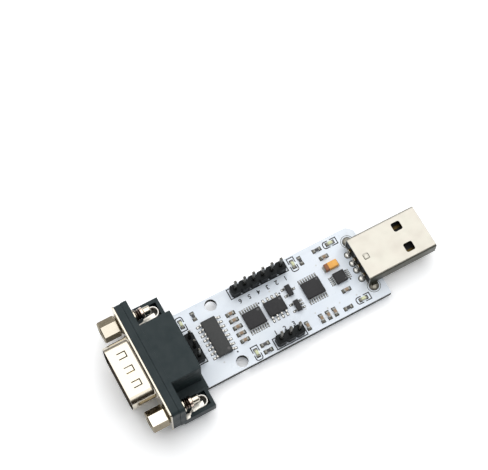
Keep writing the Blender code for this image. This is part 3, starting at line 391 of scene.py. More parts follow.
def softened(name, node, width, material, angle=32):
    """A merged, bevelled copy of one CAD node. width is the bevel in mm."""
    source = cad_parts[node]
    piece = source.copy()
    piece.data = source.data.copy()
    for key in list(piece.keys()):
        del piece[key]
    piece.parent = None
    piece.matrix_world = Matrix.Identity(4)
    piece.data.transform(source.matrix_world)
    bpy.context.collection.objects.link(piece)
    piece.hide_render = piece.hide_viewport = False
    piece.name = piece.data.name = name
    edit(piece)
    bpy.ops.mesh.select_all(action="SELECT")
    bpy.ops.mesh.remove_doubles(threshold=0.001 * MM)
    bpy.ops.mesh.dissolve_limited(angle_limit=radians(0.5), use_dissolve_boundaries=False)
    close(piece)
    if width:
        round_edges(piece, width)
    wear(piece, material)
    smooth(piece, angle)
    modify(piece, "WEIGHTED_NORMAL", keep_sharp=True, weight=100)
    return fit(piece, (node,))


print("CAD nodes to stand for:", len(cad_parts))

# %% [markdown]
# ## D connector
# A plastic housing stands behind the steel flange, and a plastic plate fills
# the shroud in front of it. Little light reaches the inside of the shroud, so
# the faces there wear a darker nickel.

# %% Housing, plate and shroud
D_AXIS = 8.8  # height of the connector's middle, mm
PLATE_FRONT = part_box("dsub_insulator")[0].x / MM
softened("housing", "dsub_housing", 0.12, CONNECTOR)
softened("insulator_plate", "dsub_insulator", 0.08, CONNECTOR)
shroud = softened("d_shroud", "dsub_shell", 0.05, NICKEL)
inside = second(shroud, DARK_NICKEL, lambda c, n: c.x < PLATE_FRONT - 0.1
                and n.y * c.y + n.z * (c.z - D_AXIS) < -0.5)
print("Faces inside the shroud:", inside)

# %% [markdown]
# ## Ears of the connector
# Each ear of the housing holds a hex jackscrew, a clip that grips the board
# and a solder eyelet. A collar goes round the screw's thread, and a strap
# lies beside it with a tail that is bent in its own way on each side.

# %% Jackscrews, clips, eyelets, collars and straps
FLANGE_REAR = -32.35
COLLAR_RADIUS, COLLAR_BORE, COLLAR_LENGTH = 1.72, 1.5, 0.76
PLAIN_END = 1.95  # the screw's end that has no thread
CREST_RADIUS = 1.26  # thread faces further out are bright
UPWARD = 0.85  # a hex face leaning less than this is a side
SHEET = 0.14
# x, y from the screw's axis, width, height: the strap and its two tails
STRAP = [(-26.75, -0.85, 1.15, 5.12), (-27.1, -0.87, 1.3, 5.12), (-28.3, -0.98, 1.3, 5.12),
         (-29.8, -1.15, 1.3, 5.12)]
LEFT_TAIL = [(-30.0, -1.3, 0.65, 5.12), (-30.5, -1.4, 0.5, 5.2), (-31.3, -1.5, 0.5, 5.2),
             (-32.28, -1.5, 0.6, 5.2)]
RIGHT_TAIL = [(-30.0, -1.35, 0.65, 5.3), (-30.5, -1.6, 0.55, 5.77), (-30.95, -2.0, 0.6, 5.77),
              (-31.2, -2.2, 1.2, 5.77), (-32.28, -2.25, 1.25, 5.77)]


def bent_strip(name, sections):
    """A bent strip of sheet through sections of x, y, width and height, mm."""
    piece = block(name, (sections[-1][0], -0.5, 0), (sections[0][0], 0.5, SHEET))
    edit(piece)
    for x, y, wide, z in sections[1:-1]:
        slice_all((x, 0, 0), (1, 0, 0))
    for x, y, wide, z in sections:
        bpy.ops.mesh.select_all(action="DESELECT")
        pick(piece, lambda c, n: abs(c.x - x) < 0.001, "verts")
        bpy.ops.transform.resize(value=(1, wide, 1), center_override=(0, 0, 0))
        bpy.ops.transform.translate(value=(0, y * MM, z * MM))
    close(piece)
    return round_edges(piece, 0.04, angle=40)


for side, tail in (("left", LEFT_TAIL), ("right", RIGHT_TAIL)):
    screw = softened("standoff_" + side, "jackscrew_" + side, 0.06, NICKEL, 28)
    low, high = (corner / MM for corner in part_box("jackscrew_" + side))
    axis_y = (low.y + high.y) / 2
    # painted shade: the hex's side faces get the darker copy of the nickel
    second(screw, SHADED_SIDE_NICKEL, lambda c, n: c.x < PLATE_FRONT and n.z < UPWARD)
    thread_end = high.x - PLAIN_END
    # painted shade on the thread, apart from its crests
    second(screw, SHADED_THREAD_ROOT, lambda c, n: FLANGE_REAR < c.x < thread_end)
    crests = second(screw, THREAD_CREST, lambda c, n: FLANGE_REAR < c.x < thread_end
                    and (c.y - axis_y) ** 2 + (c.z - D_AXIS) ** 2 > CREST_RADIUS ** 2)
    softened("hairpin_" + side, "boardlock_" + side, 0.05, LEAD)
    softened("ring_" + side, "eyelet_" + side, 0.0, DULL_SOLDER)
    collar = rod("collar_" + side, (FLANGE_REAR + 0.02, axis_y, D_AXIS),
                 COLLAR_RADIUS, COLLAR_LENGTH, 32, "X")
    cut(collar, rod("bore", (FLANGE_REAR - 1, axis_y, D_AXIS), COLLAR_BORE, 3, 32, "X"))
    round_edges(collar, 0.06, angle=60)
    fit(smooth(wear(collar, NICKEL)))
    sections = [(x, axis_y + y, wide, z) for x, y, wide, z in STRAP + tail]
    strap = bent_strip("strap_" + side, sections)
    fit(smooth(wear(strap, SATIN_NICKEL)))
    print(side, "ear: axis at y", round(axis_y, 2), "mm, thread crest faces", crests)

# %% [markdown]
# ## Pins and headers
# Nine round pins stand in the D connector. Each header is a moulded strip
# with square plated posts through it.

# %% Pins of the D connector, header strips and posts
D_PINS = [f"dsub_pin_{n}" for n in range(1, 10)]
HEADERS = (("header_6", 6), ("header_3_edge", 3), ("header_3_side", 3))
for number, node in enumerate(D_PINS, 1):
    softened(f"d_pin_{number}", node, 0.0, GOLD)
# the posts wear painted shade, a dark colour in place of their bright plating
for name, count in HEADERS:
    softened(name + "_strip", name, 0.1, HEADER)
    for number in range(1, count + 1):
        softened(f"{name}_post_{number}", f"{name}_pin_{number}", 0.05, SHADED_PLATED_PIN)
print("Header posts:", sum(count for name, count in HEADERS))

# %% [markdown]
# ## USB plug
# The plug's shell is folded tin plate. Its press mark is a square groove that
# is cut into the top round a small plate. The shell's sides and the contacts'
# front ends see little light, so they get painted shade: darker copies of the
# tin and the gold.

# %% Shell, press mark, tongue and contacts
USB_CONTACTS = [f"usb_contact_{n}" for n in range(1, 5)]
PLUG_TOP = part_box("usb_shell")[1].z / MM
PLUG_SIDE = 5.8  # faces of the shell further out are its sides
SHADED_FROM = 24.2  # where the shell starts to shade the contacts
plug = softened("plug_shell", "usb_shell", 0.04, USB_TIN)
# painted shade on the shell's sides
second(plug, SHADED_TIN_SIDE, lambda c, n: abs(n.y) > 0.3 and abs(c.y) > PLUG_SIDE)
press = block("press", (24.85, -1.05, PLUG_TOP - 0.2), (26.45, 0.55, PLUG_TOP + 1))
round_edges(press, 0.3, 3)
cut(press, block("core", (25.2, -0.7, PLUG_TOP - 1), (26.1, 0.2, PLUG_TOP + 2), 0.1))
smooth(cut(plug, press), 32)
modify(plug, "WEIGHTED_NORMAL", keep_sharp=True, weight=100)
mark = block("press_mark", (25.22, -0.68, PLUG_TOP - 0.25), (26.08, 0.18, PLUG_TOP - 0.03), 0.05)
fit(smooth(wear(mark, USB_TIN)))
softened("plug_tongue", "usb_insulator", 0.1, INSULATOR)
for number, node in enumerate(USB_CONTACTS, 1):
    contact = softened(f"plug_contact_{number}", node, 0.05, LEAD)
    second(contact, SHADED_GOLD, lambda c, n: c.x > SHADED_FROM)

# %% [markdown]
# ## Circuit board
# The board is a sheet of glass laminate under white solder mask. It is cut
# from one block, with a clipped corner by the plug and holes bored through.
# The sides keep the raw laminate, so they get a second material.

# %% The board with its holes
HALF_WIDTH = 10.2
CLIPPED, ROUNDED = 1.5, 0.3  # the corner by the plug, and the others
SCREW_HOLES = [(MIDDLE - 11.05, y, 1.5) for y in (8.15, -8.15)]
PIN_HOLES = []  # x, y, radius; each of these gets solder below
for name, count in HEADERS:
    for number in range(1, count + 1):
        low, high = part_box(f"{name}_pin_{number}")
        PIN_HOLES.append((*(((low + high) / 2) / MM).xy, 0.5))
for low, high in map(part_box, D_PINS):
    PIN_HOLES.append((high.x / MM - 0.51, (low.y + high.y) / 2 / MM, 0.57))
USB_TAILS = [(low.x / MM + 0.12, (low.y + high.y) / 2 / MM)
             for low, high in map(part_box, USB_CONTACTS)]
USB_LEGS = [(MIDDLE + 27.15, 6.45), (MIDDLE + 27.15, -6.45)]
PIN_HOLES += [(x, y, 0.56) for x, y in USB_TAILS] + [(x, y, 1.02) for x, y in USB_LEGS]
MID_HEIGHT = (BOARD_UNDER + BOARD_TOP) / 2
board = block("board", (BOARD_LEFT, -HALF_WIDTH, BOARD_UNDER), (BOARD_RIGHT, HALF_WIDTH, BOARD_TOP))
edit(board, "EDGE")
pick(board, lambda c, n: c.x > BOARD_RIGHT - 0.05 and c.y > HALF_WIDTH - 0.1
     and abs(c.z - MID_HEIGHT) < 0.1, "edges")
bpy.ops.mesh.bevel(offset=CLIPPED * MM, segments=1)
bpy.ops.mesh.select_all(action="DESELECT")
pick(board, lambda c, n: abs(c.z - MID_HEIGHT) < 0.1 and abs(c.x) > 25, "edges")
bpy.ops.mesh.bevel(offset=ROUNDED * MM, segments=3)
close(board)
drills = [rod("drill", (x, y, 0.5), radius, 3, 28 if radius > 1 else 16)
          for x, y, radius in SCREW_HOLES + PIN_HOLES]
cut(board, join("drills", drills))
second(wear(board, MASK), LAMINATE, lambda c, n: abs(n.z) < 0.5)
round_edges(board, 0.05, angle=60)
fit(smooth(board, 40), ("circuit_board",))
print("Board faces:", len(board.data.polygons), "holes:", len(drills))

# %% [markdown]
# ## Chip resistors and capacitors
# Each is a tiny ceramic block with a metal cap over each end, held by solder
# that climbs the cap. One of each kind is modelled, and copies take the
# places that they have on the board.

# %% Resistors and capacitors
CHIP_LENGTH, CHIP_WIDTH = 1.6, 0.8
HALF_L, HALF_W = CHIP_LENGTH / 2, CHIP_WIDTH / 2
REACH = 0.38  # how far a land runs out past its cap


def pair(name, inner, outer, half_width, low, high, edge=0.0):
    """Two blocks, at +X and -X, from inner to outer and from low to high."""
    return [block(name, (min(side * inner, side * outer), -half_width, low),
                  (max(side * inner, side * outer), half_width, high), edge) for side in (1, -1)]


def end_pair(height, cap, lift):
    """Two metal end caps, each an extruded box with soft edges."""
    return pair("cap", HALF_L - cap, HALF_L, HALF_W, lift, lift + height, 0.05)


def land_pair():
    """Two low solder mounds that climb out from under the ends."""
    lands = pair("land", HALF_L - 0.25, HALF_L + REACH, HALF_W + 0.06, 0.005, 0.2)
    for side, land in zip((1, -1), lands):
        edit(land)
        pick(land, lambda c, n: n.z > 0.9)
        bpy.ops.transform.resize(value=(0.45, 0.8, 1), center_override=Vector(
            (side * (HALF_L - 0.1), 0, 0.2)) * MM)
        close(land)
        round_edges(land, 0.06)
    return lands


# x and y from the board's middle, and 1 for a part that lies across the board
RESISTORS = ((-16.16, 7.55, 1), (14.07, 7.8, 1), (19.04, 8.35, 0), (-4.14, -7.0, 0),
             (-4.14, -8.85, 0), (18.47, -8.55, 0))
CAPACITORS = ((7.35, -7.9, 1), (11.33, -7.9, 1), (13.22, -7.9, 1), (15.06, -7.9, 1),
              (20.35, -4.3, 0), (19.7, 5.85, 0)) + tuple(
    (-7.88, (2 - i) * 1.9, 0) for i in range(5))
resistor = block("resistor", (0.04 - HALF_L, 0.02 - HALF_W, 0.06),
                 (HALF_L - 0.04, HALF_W - 0.02, 0.46), 0.03)
resistor_ends = join("resistor_ends", end_pair(0.46, 0.3, 0.04))
capacitor = block("capacitor", (0.06 - HALF_L, 0.03 - HALF_W, 0.06),
                  (HALF_L - 0.06, HALF_W - 0.03, 0.78), 0.06)
capacitor_ends = join("capacitor_ends", end_pair(0.8, 0.38, 0.04))
chip_lands = join("chip_lands", land_pair())
# the openings in the mask round the lands, where the laminate shows
chip_bare = join("chip_bare", pair("bare", HALF_L - 0.33, HALF_L + REACH + 0.09,
                                   HALF_W + 0.16, -0.02, 0.004))


def repeat(name, master, places, material):
    """Copies of a master at (x, y, across) places on the board, as one piece."""
    twins = [copy_to(master, (MIDDLE + x, y, BOARD_TOP), pi / 2 * across)
             for x, y, across in places]
    bpy.data.objects.remove(master, do_unlink=True)
    return fit(smooth(wear(join(name, twins), material)))


repeat("resistors", resistor, RESISTORS, RESISTOR)
repeat("resistor_caps", resistor_ends, RESISTORS, CAP_TIN)
repeat("capacitors", capacitor, CAPACITORS, CERAMIC)
repeat("capacitor_caps", capacitor_ends, CAPACITORS, CAP_TIN)
LED_NODES = ("led_serial", "led_bus", "led_ttl", "led_usb", "led_power")
LED_PLACES = []
for node in LED_NODES:
    low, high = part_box(node)
    x, y = (((low + high) / 2) / MM).xy
    LED_PLACES.append((x - MIDDLE, y, int(high.y - low.y > high.x - low.x)))
LANDS = RESISTORS + CAPACITORS + tuple(LED_PLACES)
repeat("chip_solder", chip_lands, LANDS, DULL_SOLDER)
repeat("chip_openings", chip_bare, LANDS, LAMINATE)
print("Resistors:", len(RESISTORS), "capacitors:", len(CAPACITORS), "LEDs:", len(LED_PLACES))

# %% [markdown]
# ## Chips
# A chip is a block of moulding compound whose sides lean back from a parting
# line, so that it leaves its mould. Its leads are strips of tinned sheet: they
# leave the sides, step down, and lie flat on the solder. One lead is drawn as
# a path of points, pulled sideways into a strip, and given its thickness.

# %% Chip bodies, leads and their solder
LEAN = 0.06  # how far a side leans in, mm
STANDOFF = 0.13  # the body's height above the board


def moulded_body(name, length, width, low, high):
    """A block in mm with leaning sides and a parting line at mid height."""
    body = block(name, (-length / 2, -width / 2, low), (length / 2, width / 2, high))
    middle = low + (high - low) * 0.45
    edit(body)
    slice_all((0, 0, middle), (0, 0, 1))
    for z in (low, high):
        bpy.ops.mesh.select_all(action="DESELECT")
        pick(body, lambda c, n: abs(c.z - z) < 0.001, "verts")
        bpy.ops.transform.resize(value=(1 - 2 * LEAN / length, 1 - 2 * LEAN / width, 1),
                                 center_override=(0, 0, z * MM))
    close(body)
    return round_edges(body, 0.045, angle=40)


def strip(name, path, width, sheet):
    """A bent strip of sheet: a chain of points in x and z, pulled along Y."""
    bpy.ops.object.select_all(action="DESELECT")
    bpy.ops.mesh.primitive_plane_add(size=0.1 * MM, location=(0, 0, 0))
    piece = bpy.context.object
    piece.name = name
    bpy.ops.object.mode_set(mode="EDIT")
    bpy.ops.mesh.select_mode(type="VERT")
    bpy.ops.mesh.merge(type="CENTER")
    bpy.ops.transform.translate(value=Vector((path[0][0], -width / 2, path[0][1])) * MM)
    for (x0, z0), (x1, z1) in zip(path, path[1:]):
        bpy.ops.mesh.extrude_region_move(
            TRANSFORM_OT_translate={"value": Vector((x1 - x0, 0, z1 - z0)) * MM})
    bpy.ops.mesh.select_all(action="SELECT")
    bpy.ops.mesh.extrude_region_move(TRANSFORM_OT_translate={"value": (0, width * MM, 0)})
    bpy.ops.mesh.select_all(action="SELECT")
    bpy.ops.mesh.normals_make_consistent(inside=False)
    close(piece)
    modify(piece, "SOLIDIFY", thickness=sheet * MM, offset=0)
    return round_edges(piece, 0.15 * sheet, 1, 50)


def gull_wing(root, tip, shoulder, width, sheet):
    """A lead from root to tip that leaves the body at shoulder height."""
    run, foot = tip - root, sheet / 2 + 0.02
    return strip("lead", [(root - 0.15, shoulder), (root + 0.24 * run, shoulder),
                          (root + 0.36 * run, shoulder - 0.3 * sheet),
                          (root + 0.5 * run, foot + 0.6 * sheet), (root + 0.6 * run, foot),
                          (tip, foot)], width, sheet)


def toe_solder(root, tip, width):
    """A low mound of solder that the foot of a lead lies in."""
    start = root + 0.42 * (tip - root)
    mound = block("toe", (start, -width * 0.62, 0.005), (tip + 0.25, width * 0.62, 0.13))
    edit(mound)
    pick(mound, lambda c, n: n.z > 0.9)
    bpy.ops.transform.resize(value=(0.78, 0.7, 1),
                             center_override=((start + tip) / 2 * MM, 0, 0.13 * MM))
    close(mound)
    return round_edges(mound, 0.04)


ALL8, ALL4, ALL5 = (tuple(i - (n - 1) / 2 for i in range(n)) for n in (8, 4, 5))
# node: length, width, height, pitch, span, lead width, leads along X,
# slots on the far side, slots on the near side, dimple
CHIPS = {
    "soic_16": (9.9, 3.9, 1.55, 1.27, 6.0, 0.42, True, ALL8, ALL8, (1.15, -4.05, 0.38)),
    "soic_8": (4.9, 3.9, 1.55, 1.27, 6.0, 0.42, False, ALL4, ALL4, (1.75, 1.2, 0.3)),
    "tssop_16_a": (5.0, 4.4, 0.95, 0.65, 6.4, 0.24, False, ALL8, ALL8, (1.75, 1.5, 0.34)),
    "tssop_16_b": (5.0, 4.4, 0.95, 0.65, 6.4, 0.24, False, ALL8, ALL8, (1.8, 1.6, 0.26)),
    "msop_10": (3.0, 3.0, 0.95, 0.5, 4.9, 0.2, True, ALL5, ALL5, (1.0, -1.0, 0.2)),
    "sot_23_3": (2.9, 1.35, 1.0, 0.95, 2.8, 0.42, True, (-1, 1), (0,), None),
    "sot_23_5": (2.9, 1.35, 1.0, 0.95, 2.8, 0.42, True, (-1, 1), (-1, 0, 1), None),
}


def make_chip(node, length, width, height, pitch, span, wide, along_x, far, near, dimple):
    """The body, leads, openings and solder of one chip; wide is a lead's width."""
    low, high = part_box(node)
    x, y = ((low + high) / 2).xy / MM
    z = BOARD_TOP
    top = z + 0.15 + height
    turn = pi / 2 if along_x else 0.0
    body = moulded_body(node + "_body", length, width, STANDOFF, 0.15 + height)
    body.data.transform(Matrix.Translation(Vector((x, y, z)) * MM) @ Matrix.Rotation(turn, 4, "Z"))
    if dimple:
        dx, dy, radius = dimple
        cut(body, rod("dimple", (x + dx, y + dy, top - 0.05), radius, 1, 28))
    wear(body, PALE_MOULDING if node == "soic_16" else MOULDING)
    second(body, DIMPLE, lambda c, n: n.z > 0.9 and top - 0.15 < c.z < top - 0.02)
    fit(smooth(body, 30), (node,))
    sheet = min(0.2, wide * 0.6)
    tin = LEAD if wide > 0.4 and pitch > 1 else FINE_LEAD
    lead = gull_wing(width / 2, span / 2, 0.1 + height * 0.45, wide, sheet)
    toe = toe_solder(width / 2, span / 2, wide)
    start = width / 2 + 0.34 * (span - width) / 2
    half = wide * 0.62 + 0.06
    bare = block("bare", (start, -half, -0.02), (span / 2 + 0.33, half, 0.004))
    leads, toes, bares = [], [], []
    # the leads are drawn along +X, and a chip's rows start along its own X
    for slots, aim in ((far, pi / 2), (near, -pi / 2)):
        for slot in slots:
            spot = Matrix.Rotation(turn, 4, "Z") @ Vector((slot * pitch, 0, 0))
            place = (x + spot.x, y + spot.y, z)
            leads.append(copy_to(lead, place, aim + turn))
            toes.append(copy_to(toe, place, aim + turn))
            bares.append(copy_to(bare, place, aim + turn))
    for master in (lead, toe, bare):
        bpy.data.objects.remove(master, do_unlink=True)
    fit(smooth(wear(join(node + "_leads", leads), tin)))
    fit(wear(join(node + "_openings", bares), LAMINATE))
    fit(smooth(wear(join(node + "_solder", toes), SOLDER)))
    return len(leads)


for node, facts in CHIPS.items():
    print(node, "leads:", make_chip(node, *facts))

# %% [markdown]
# ## LEDs and the amber capacitor
# A chip LED is a white carrier with a clear lens on it, between two metal
# ends. The amber part is a moulded tantalum capacitor, with a brown band that
# marks its positive end and strips of tin folded under both ends.

# %% LEDs
LENS_LOW, LENS_TOP = 0.3, 0.76
lens_master = block("lens", (-0.6, -0.39, LENS_LOW), (0.6, 0.39, LENS_TOP))
edit(lens_master)
pick(lens_master, lambda c, n: n.z > 0.9)
bpy.ops.transform.resize(value=(0.86, 0.86, 1), center_override=(0, 0, LENS_TOP * MM))
close(lens_master)
round_edges(lens_master, 0.06)
carrier_master = block("carrier", (-0.78, -0.39, 0.06), (0.78, 0.39, LENS_LOW), 0.02)
ends_master = join("ends", end_pair(0.3, 0.18, 0.03))
for node, (x, y, across) in zip(LED_NODES, LED_PLACES):
    lens = copy_to(lens_master, (MIDDLE + x, y, BOARD_TOP), pi / 2 * across)
    lens.name = node + "_lens"
    fit(smooth(wear(lens, LENS)), (node,))
bpy.data.objects.remove(lens_master, do_unlink=True)
repeat("led_carriers", carrier_master, LED_PLACES, CARRIER)
repeat("led_ends", ends_master, LED_PLACES, CAP_TIN)
print("LED lenses:", len(LED_NODES))

# %% The tantalum capacitor
AMBER = finish("amber_moulding", (0.80, 0.36, 0.045), 0.4, grain=(MOULD_GRAIN, 7000, 0.01),
               tint=(SOFT_PATCHES, 900, (0.86, 0.44, 0.08)))
BAND = finish("polarity_band", (0.27, 0.085, 0.016), 0.42, grain=(MOULD_GRAIN, 7000, 0.01))
BAND_WIDTH, PARTING_HEIGHT = 1.05, 0.75
END_LENGTH, FOOT_REACH = 0.7, 0.25
low, high = (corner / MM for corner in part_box("tantalum_capacitor"))
tantalum = block("tantalum", (low.x + 0.1, low.y, low.z + 0.1), (high.x - 0.1, high.y, high.z))
edit(tantalum)
slice_all((low.x + BAND_WIDTH, 0, 0), (1, 0, 0))
slice_all((0, 0, low.z + PARTING_HEIGHT), (0, 0, 1))
bpy.ops.mesh.select_all(action="DESELECT")
pick(tantalum, lambda c, n: abs(c.z - high.z) < 0.001, "verts")
bpy.ops.transform.resize(value=(0.95, 0.9, 1), center_override=(low + high) / 2 * MM)
close(tantalum)
second(wear(tantalum, AMBER), BAND, lambda c, n: c.x < low.x + BAND_WIDTH)
round_edges(tantalum, 0.07, angle=40)
fit(smooth(tantalum, 30), ("tantalum_capacitor",))
ends = []
for x0, x1, back, front in ((low.x, low.x + END_LENGTH, FOOT_REACH, 0),
                            (high.x - END_LENGTH, high.x, 0, FOOT_REACH)):
    ends.append(block("end", (x0, low.y + 0.3, low.z),
                      (x1, high.y - 0.3, low.z + PARTING_HEIGHT), 0.05))
    ends.append(block("end", (x0 - back, low.y + 0.1, low.z - 0.04),
                      (x1 + front, high.y - 0.1, low.z + 0.12), 0.05))
fit(smooth(wear(join("tantalum_ends", ends), CAP_TIN)))
print("Tantalum capacitor, mm:", [round(v, 2) for v in high - low])

# %% [markdown]
# ## Solder on the pins
# Every pin that passes through the board has a cone of solder on the far
# side. The plug's legs and signal pins are soldered from above too, and those
# joints are the round bright mounds beside the shell.

# %% Solder joints
CONE_SPREAD, CONE_HEIGHT = 0.35, 0.62
PAD_SPREAD, PAD_SHEET = 0.12, 0.03
LEG_SOLDER, SIGNAL_SOLDER = (1.3, 0.7), (0.74, 0.42)  # radius, height
LEG_RING, SIGNAL_OPENING, VIA_RADIUS = (1.72, 1.60), 0.92, 0.24
OPENING_SHEET = 0.024
VIAS = ((-13.6, 5.2), (-9.4, -7.9), (10.6, -5.9), (12.6, 6.4), (13.9, -6.2), (16.9, 4.9),
        (21.6, 3.1), (21.9, -6.6), (-15.0, -6.3), (17.2, -6.4), (9.1, -3.9), (3.4, 4.4))


def mound(name, place, radius, height):
    """Half a flattened sphere that sits on the board, in mm."""
    bpy.ops.object.select_all(action="DESELECT")
    bpy.ops.mesh.primitive_uv_sphere_add(segments=24, ring_count=12, radius=1,
                                         location=Vector(place) * MM,
                                         scale=(radius * MM, radius * MM, height * MM))
    piece = settle(name)
    edit(piece)
    slice_all(place, (0, 0, 1), use_fill=True, clear_inner=True)
    return close(piece)


def cone(name, place, wide, narrow):
    """A solder cone that hangs under the board round a pin, in mm."""
    bpy.ops.object.select_all(action="DESELECT")
    middle = Vector(place) - Vector((0, 0, CONE_HEIGHT / 2))
    bpy.ops.mesh.primitive_cone_add(vertices=20, radius1=narrow * MM, radius2=wide * MM,
                                    depth=CONE_HEIGHT * MM, location=middle * MM)
    return round_edges(settle(name), 0.12, angle=40)


under, top = BOARD_UNDER - 0.005, BOARD_TOP
joints = []
for x, y, radius in PIN_HOLES:
    reach = radius + CONE_SPREAD
    joints.append(cone("joint", (x, y, under), reach, radius * 0.72))
    joints.append(rod("pad", (x, y, under - PAD_SHEET), reach + PAD_SPREAD, PAD_SHEET))
fit(smooth(wear(join("joints_below", joints), SOLDER), 40))
LEG_PADS = [(x - 0.25, y + (0.2 if y > 0 else -0.1)) for x, y in USB_LEGS]
legs = [mound("leg", (x, y, top), *LEG_SOLDER) for x, y in LEG_PADS]
fit(smooth(wear(join("leg_joints", legs), DULL_SOLDER), 40))
signals = [mound("signal", (x - 0.05, y, top), *SIGNAL_SOLDER) for x, y in USB_TAILS]
fit(smooth(wear(join("signal_joints", signals), BRIGHT_SOLDER), 40))
openings = [rod("opening", (x - 0.05, y, top - 0.02), SIGNAL_OPENING, OPENING_SHEET, 28)
            for x, y in USB_TAILS]
for x, y in LEG_PADS:
    ring = rod("ring", (x, y, top - 0.02), LEG_RING[0], OPENING_SHEET, 40)
    openings.append(cut(ring, rod("inner", (x, y, top - 1), LEG_RING[1], 2, 40)))
fit(wear(join("pad_openings", openings), LAMINATE))
vias = [rod("via", (MIDDLE + x, y, top - 0.02), VIA_RADIUS, 0.03, 16) for x, y in VIAS]
fit(wear(join("vias", vias), TENTED))
print("Soldered pins and legs:", len(PIN_HOLES), "vias:", len(vias))

# %% [markdown]
# ## Printed outlines
# The board is printed in black with the outline of each part that belongs on
# it. A line of print is a flat face with an inset: the inset ring is kept, and
# the middle is deleted. Gaps are cut where the real line is open.

# %% Outlines, dots and pin numbers
PRINT_Z = BOARD_TOP + 0.008
LINE_WIDTH, DOT_RADIUS, NUMERAL_SIZE = 0.25, 0.22, 1.7
PIN_PITCH = 2.54


def flat(name, low, high):
    """A flat rectangle of print between two corners."""
    bpy.ops.object.select_all(action="DESELECT")
    middle = Vector((MIDDLE + (low[0] + high[0]) / 2, (low[1] + high[1]) / 2, PRINT_Z)) * MM
    bpy.ops.mesh.primitive_plane_add(size=1, location=middle)
    bpy.context.object.scale = ((high[0] - low[0]) * MM, (high[1] - low[1]) * MM, 1)
    return settle(name)


def outline(low, high, round_end=None, gap=None):
    """A printed box. round_end is the axis and sign of an end with round
    corners, and gap is the axis and half length of an opening in its sides."""
    piece = flat("outline", low, high)
    middle = (MIDDLE + (low[0] + high[0]) / 2, (low[1] + high[1]) / 2)
    if round_end:
        axis, sign = round_end
        edit(piece, "VERT")
        pick(piece, lambda c, n: (c[axis] - middle[axis]) * sign > 0, "verts")
        bpy.ops.mesh.bevel(offset=0.7 * MM, segments=4, affect="VERTICES")
        close(piece)
    edit(piece)
    bpy.ops.mesh.select_all(action="SELECT")
    bpy.ops.mesh.inset(thickness=LINE_WIDTH * MM, depth=0)
    bpy.ops.mesh.delete(type="FACE")
    if gap:
        axis, half = gap
        way = Vector((1, 0, 0)) if axis == 0 else Vector((0, 1, 0))
        for side in (-1, 1):
            slice_all(way * (middle[axis] + side * half), way)
        bpy.ops.mesh.select_mode(type="FACE")
        bpy.ops.mesh.select_all(action="DESELECT")
        pick(piece, lambda c, n: abs(c[axis] - middle[axis]) < half - 0.01)
        bpy.ops.mesh.delete(type="FACE")
    return close(piece)


def dot(x, y):
    """A printed dot beside the first pin of a chip."""
    bpy.ops.object.select_all(action="DESELECT")
    bpy.ops.mesh.primitive_circle_add(vertices=20, radius=DOT_RADIUS * MM, fill_type="NGON",
                                      location=Vector((MIDDLE + x, y, PRINT_Z)) * MM)
    return settle("dot")


def numeral(text, x, y, turn=0.0):
    """A pin number as flat mesh, centred on its place."""
    bpy.ops.object.select_all(action="DESELECT")
    bpy.ops.object.text_add(location=Vector((MIDDLE + x, y, PRINT_Z)) * MM, rotation=(0, 0, turn))
    piece = bpy.context.object
    piece.data.body = text
    piece.data.size = NUMERAL_SIZE * MM
    piece.data.align_x = piece.data.align_y = "CENTER"
    piece.data.resolution_u = 3
    piece.data.offset = 0.035 * MM
    bpy.ops.object.convert(target="MESH")
    return settle("numeral")


print_marks = [outline((-5.97, 6.85), (10.4, 9.85)), outline((-2.15, -9.85), (6.5, -6.65)),
               outline((-21.55, -4.3), (-18.25, 4.1))]
ROUND_ENDS = ((1, 1), (1, -1), (1, -1), (0, -1), (0, -1))  # axis and sign, for each LED
for (x, y, across), rounded in zip(LED_PLACES, ROUND_ENDS):
    half = (1.0, 2.0) if across else (2.0, 1.0)
    print_marks.append(outline((x - half[0], y - half[1]), (x + half[0], y + half[1]),
                               round_end=rounded, gap=(1 if across else 0, 0.3)))
DOTS = ((-10.86, -5.49), (-0.41, 2.99), (5.31, 2.8), (22.72, -2.26))
print_marks += [dot(*place) for place in DOTS]
print_marks += [numeral(str(6 - i), -4.11 + PIN_PITCH * i, 5.65, pi) for i in range(6)]
print_marks += [numeral(str(i + 1), -0.4 + PIN_PITCH * i, -5.75) for i in range(3)]
fit(wear(join("board_print", print_marks), INK))
print("Printed marks:", len(print_marks))

# %% [markdown]
# ## Studio
# The photograph was taken on white paper. The floor takes the module's shadow
# and is a little paler to the camera, in metal and through clear parts. The
# lamps fade away from the module, so far out the camera sees plain white.

# %% Floor
PAPER_WHITE, SEEN_WHITE = 0.90, 1.3
FADE_START, FADE_END = 0.14, 0.32  # m from the origin
bpy.ops.object.select_all(action="DESELECT")
bpy.ops.mesh.primitive_plane_add(size=2.4, location=(0, 0, -0.00002))
floor = bpy.context.object
floor.name = "floor"
PAPER = bpy.data.materials.new("paper")
PAPER.use_nodes = True
nodes = PAPER.node_tree.nodes
new = nodes.new
shader = nodes["Principled BSDF"]
shader.inputs["Base Color"].default_value = (PAPER_WHITE, PAPER_WHITE, PAPER_WHITE, 1)
shader.inputs["Roughness"].default_value = 0.9
shader.inputs["Specular IOR Level"].default_value = 0.1
path = new("ShaderNodeLightPath")
seen = new("ShaderNodeBsdfDiffuse")
seen.inputs["Color"].default_value = (SEEN_WHITE, SEEN_WHITE, SEEN_WHITE, 1)
pale = new("ShaderNodeMixShader")
with_metal, with_glass = new("ShaderNodeMath"), new("ShaderNodeMath")
with_metal.operation = with_glass.operation = "MAXIMUM"
hook(PAPER.node_tree, (path, "Is Camera Ray", with_metal, 0),
     (path, "Is Glossy Ray", with_metal, 1), (with_metal, "Value", with_glass, 0),
     (path, "Is Transmission Ray", with_glass, 1), (with_glass, "Value", pale, "Fac"),
     (shader, "BSDF", pale, 1), (seen, "BSDF", pale, 2))
place = new("ShaderNodeTexCoord")
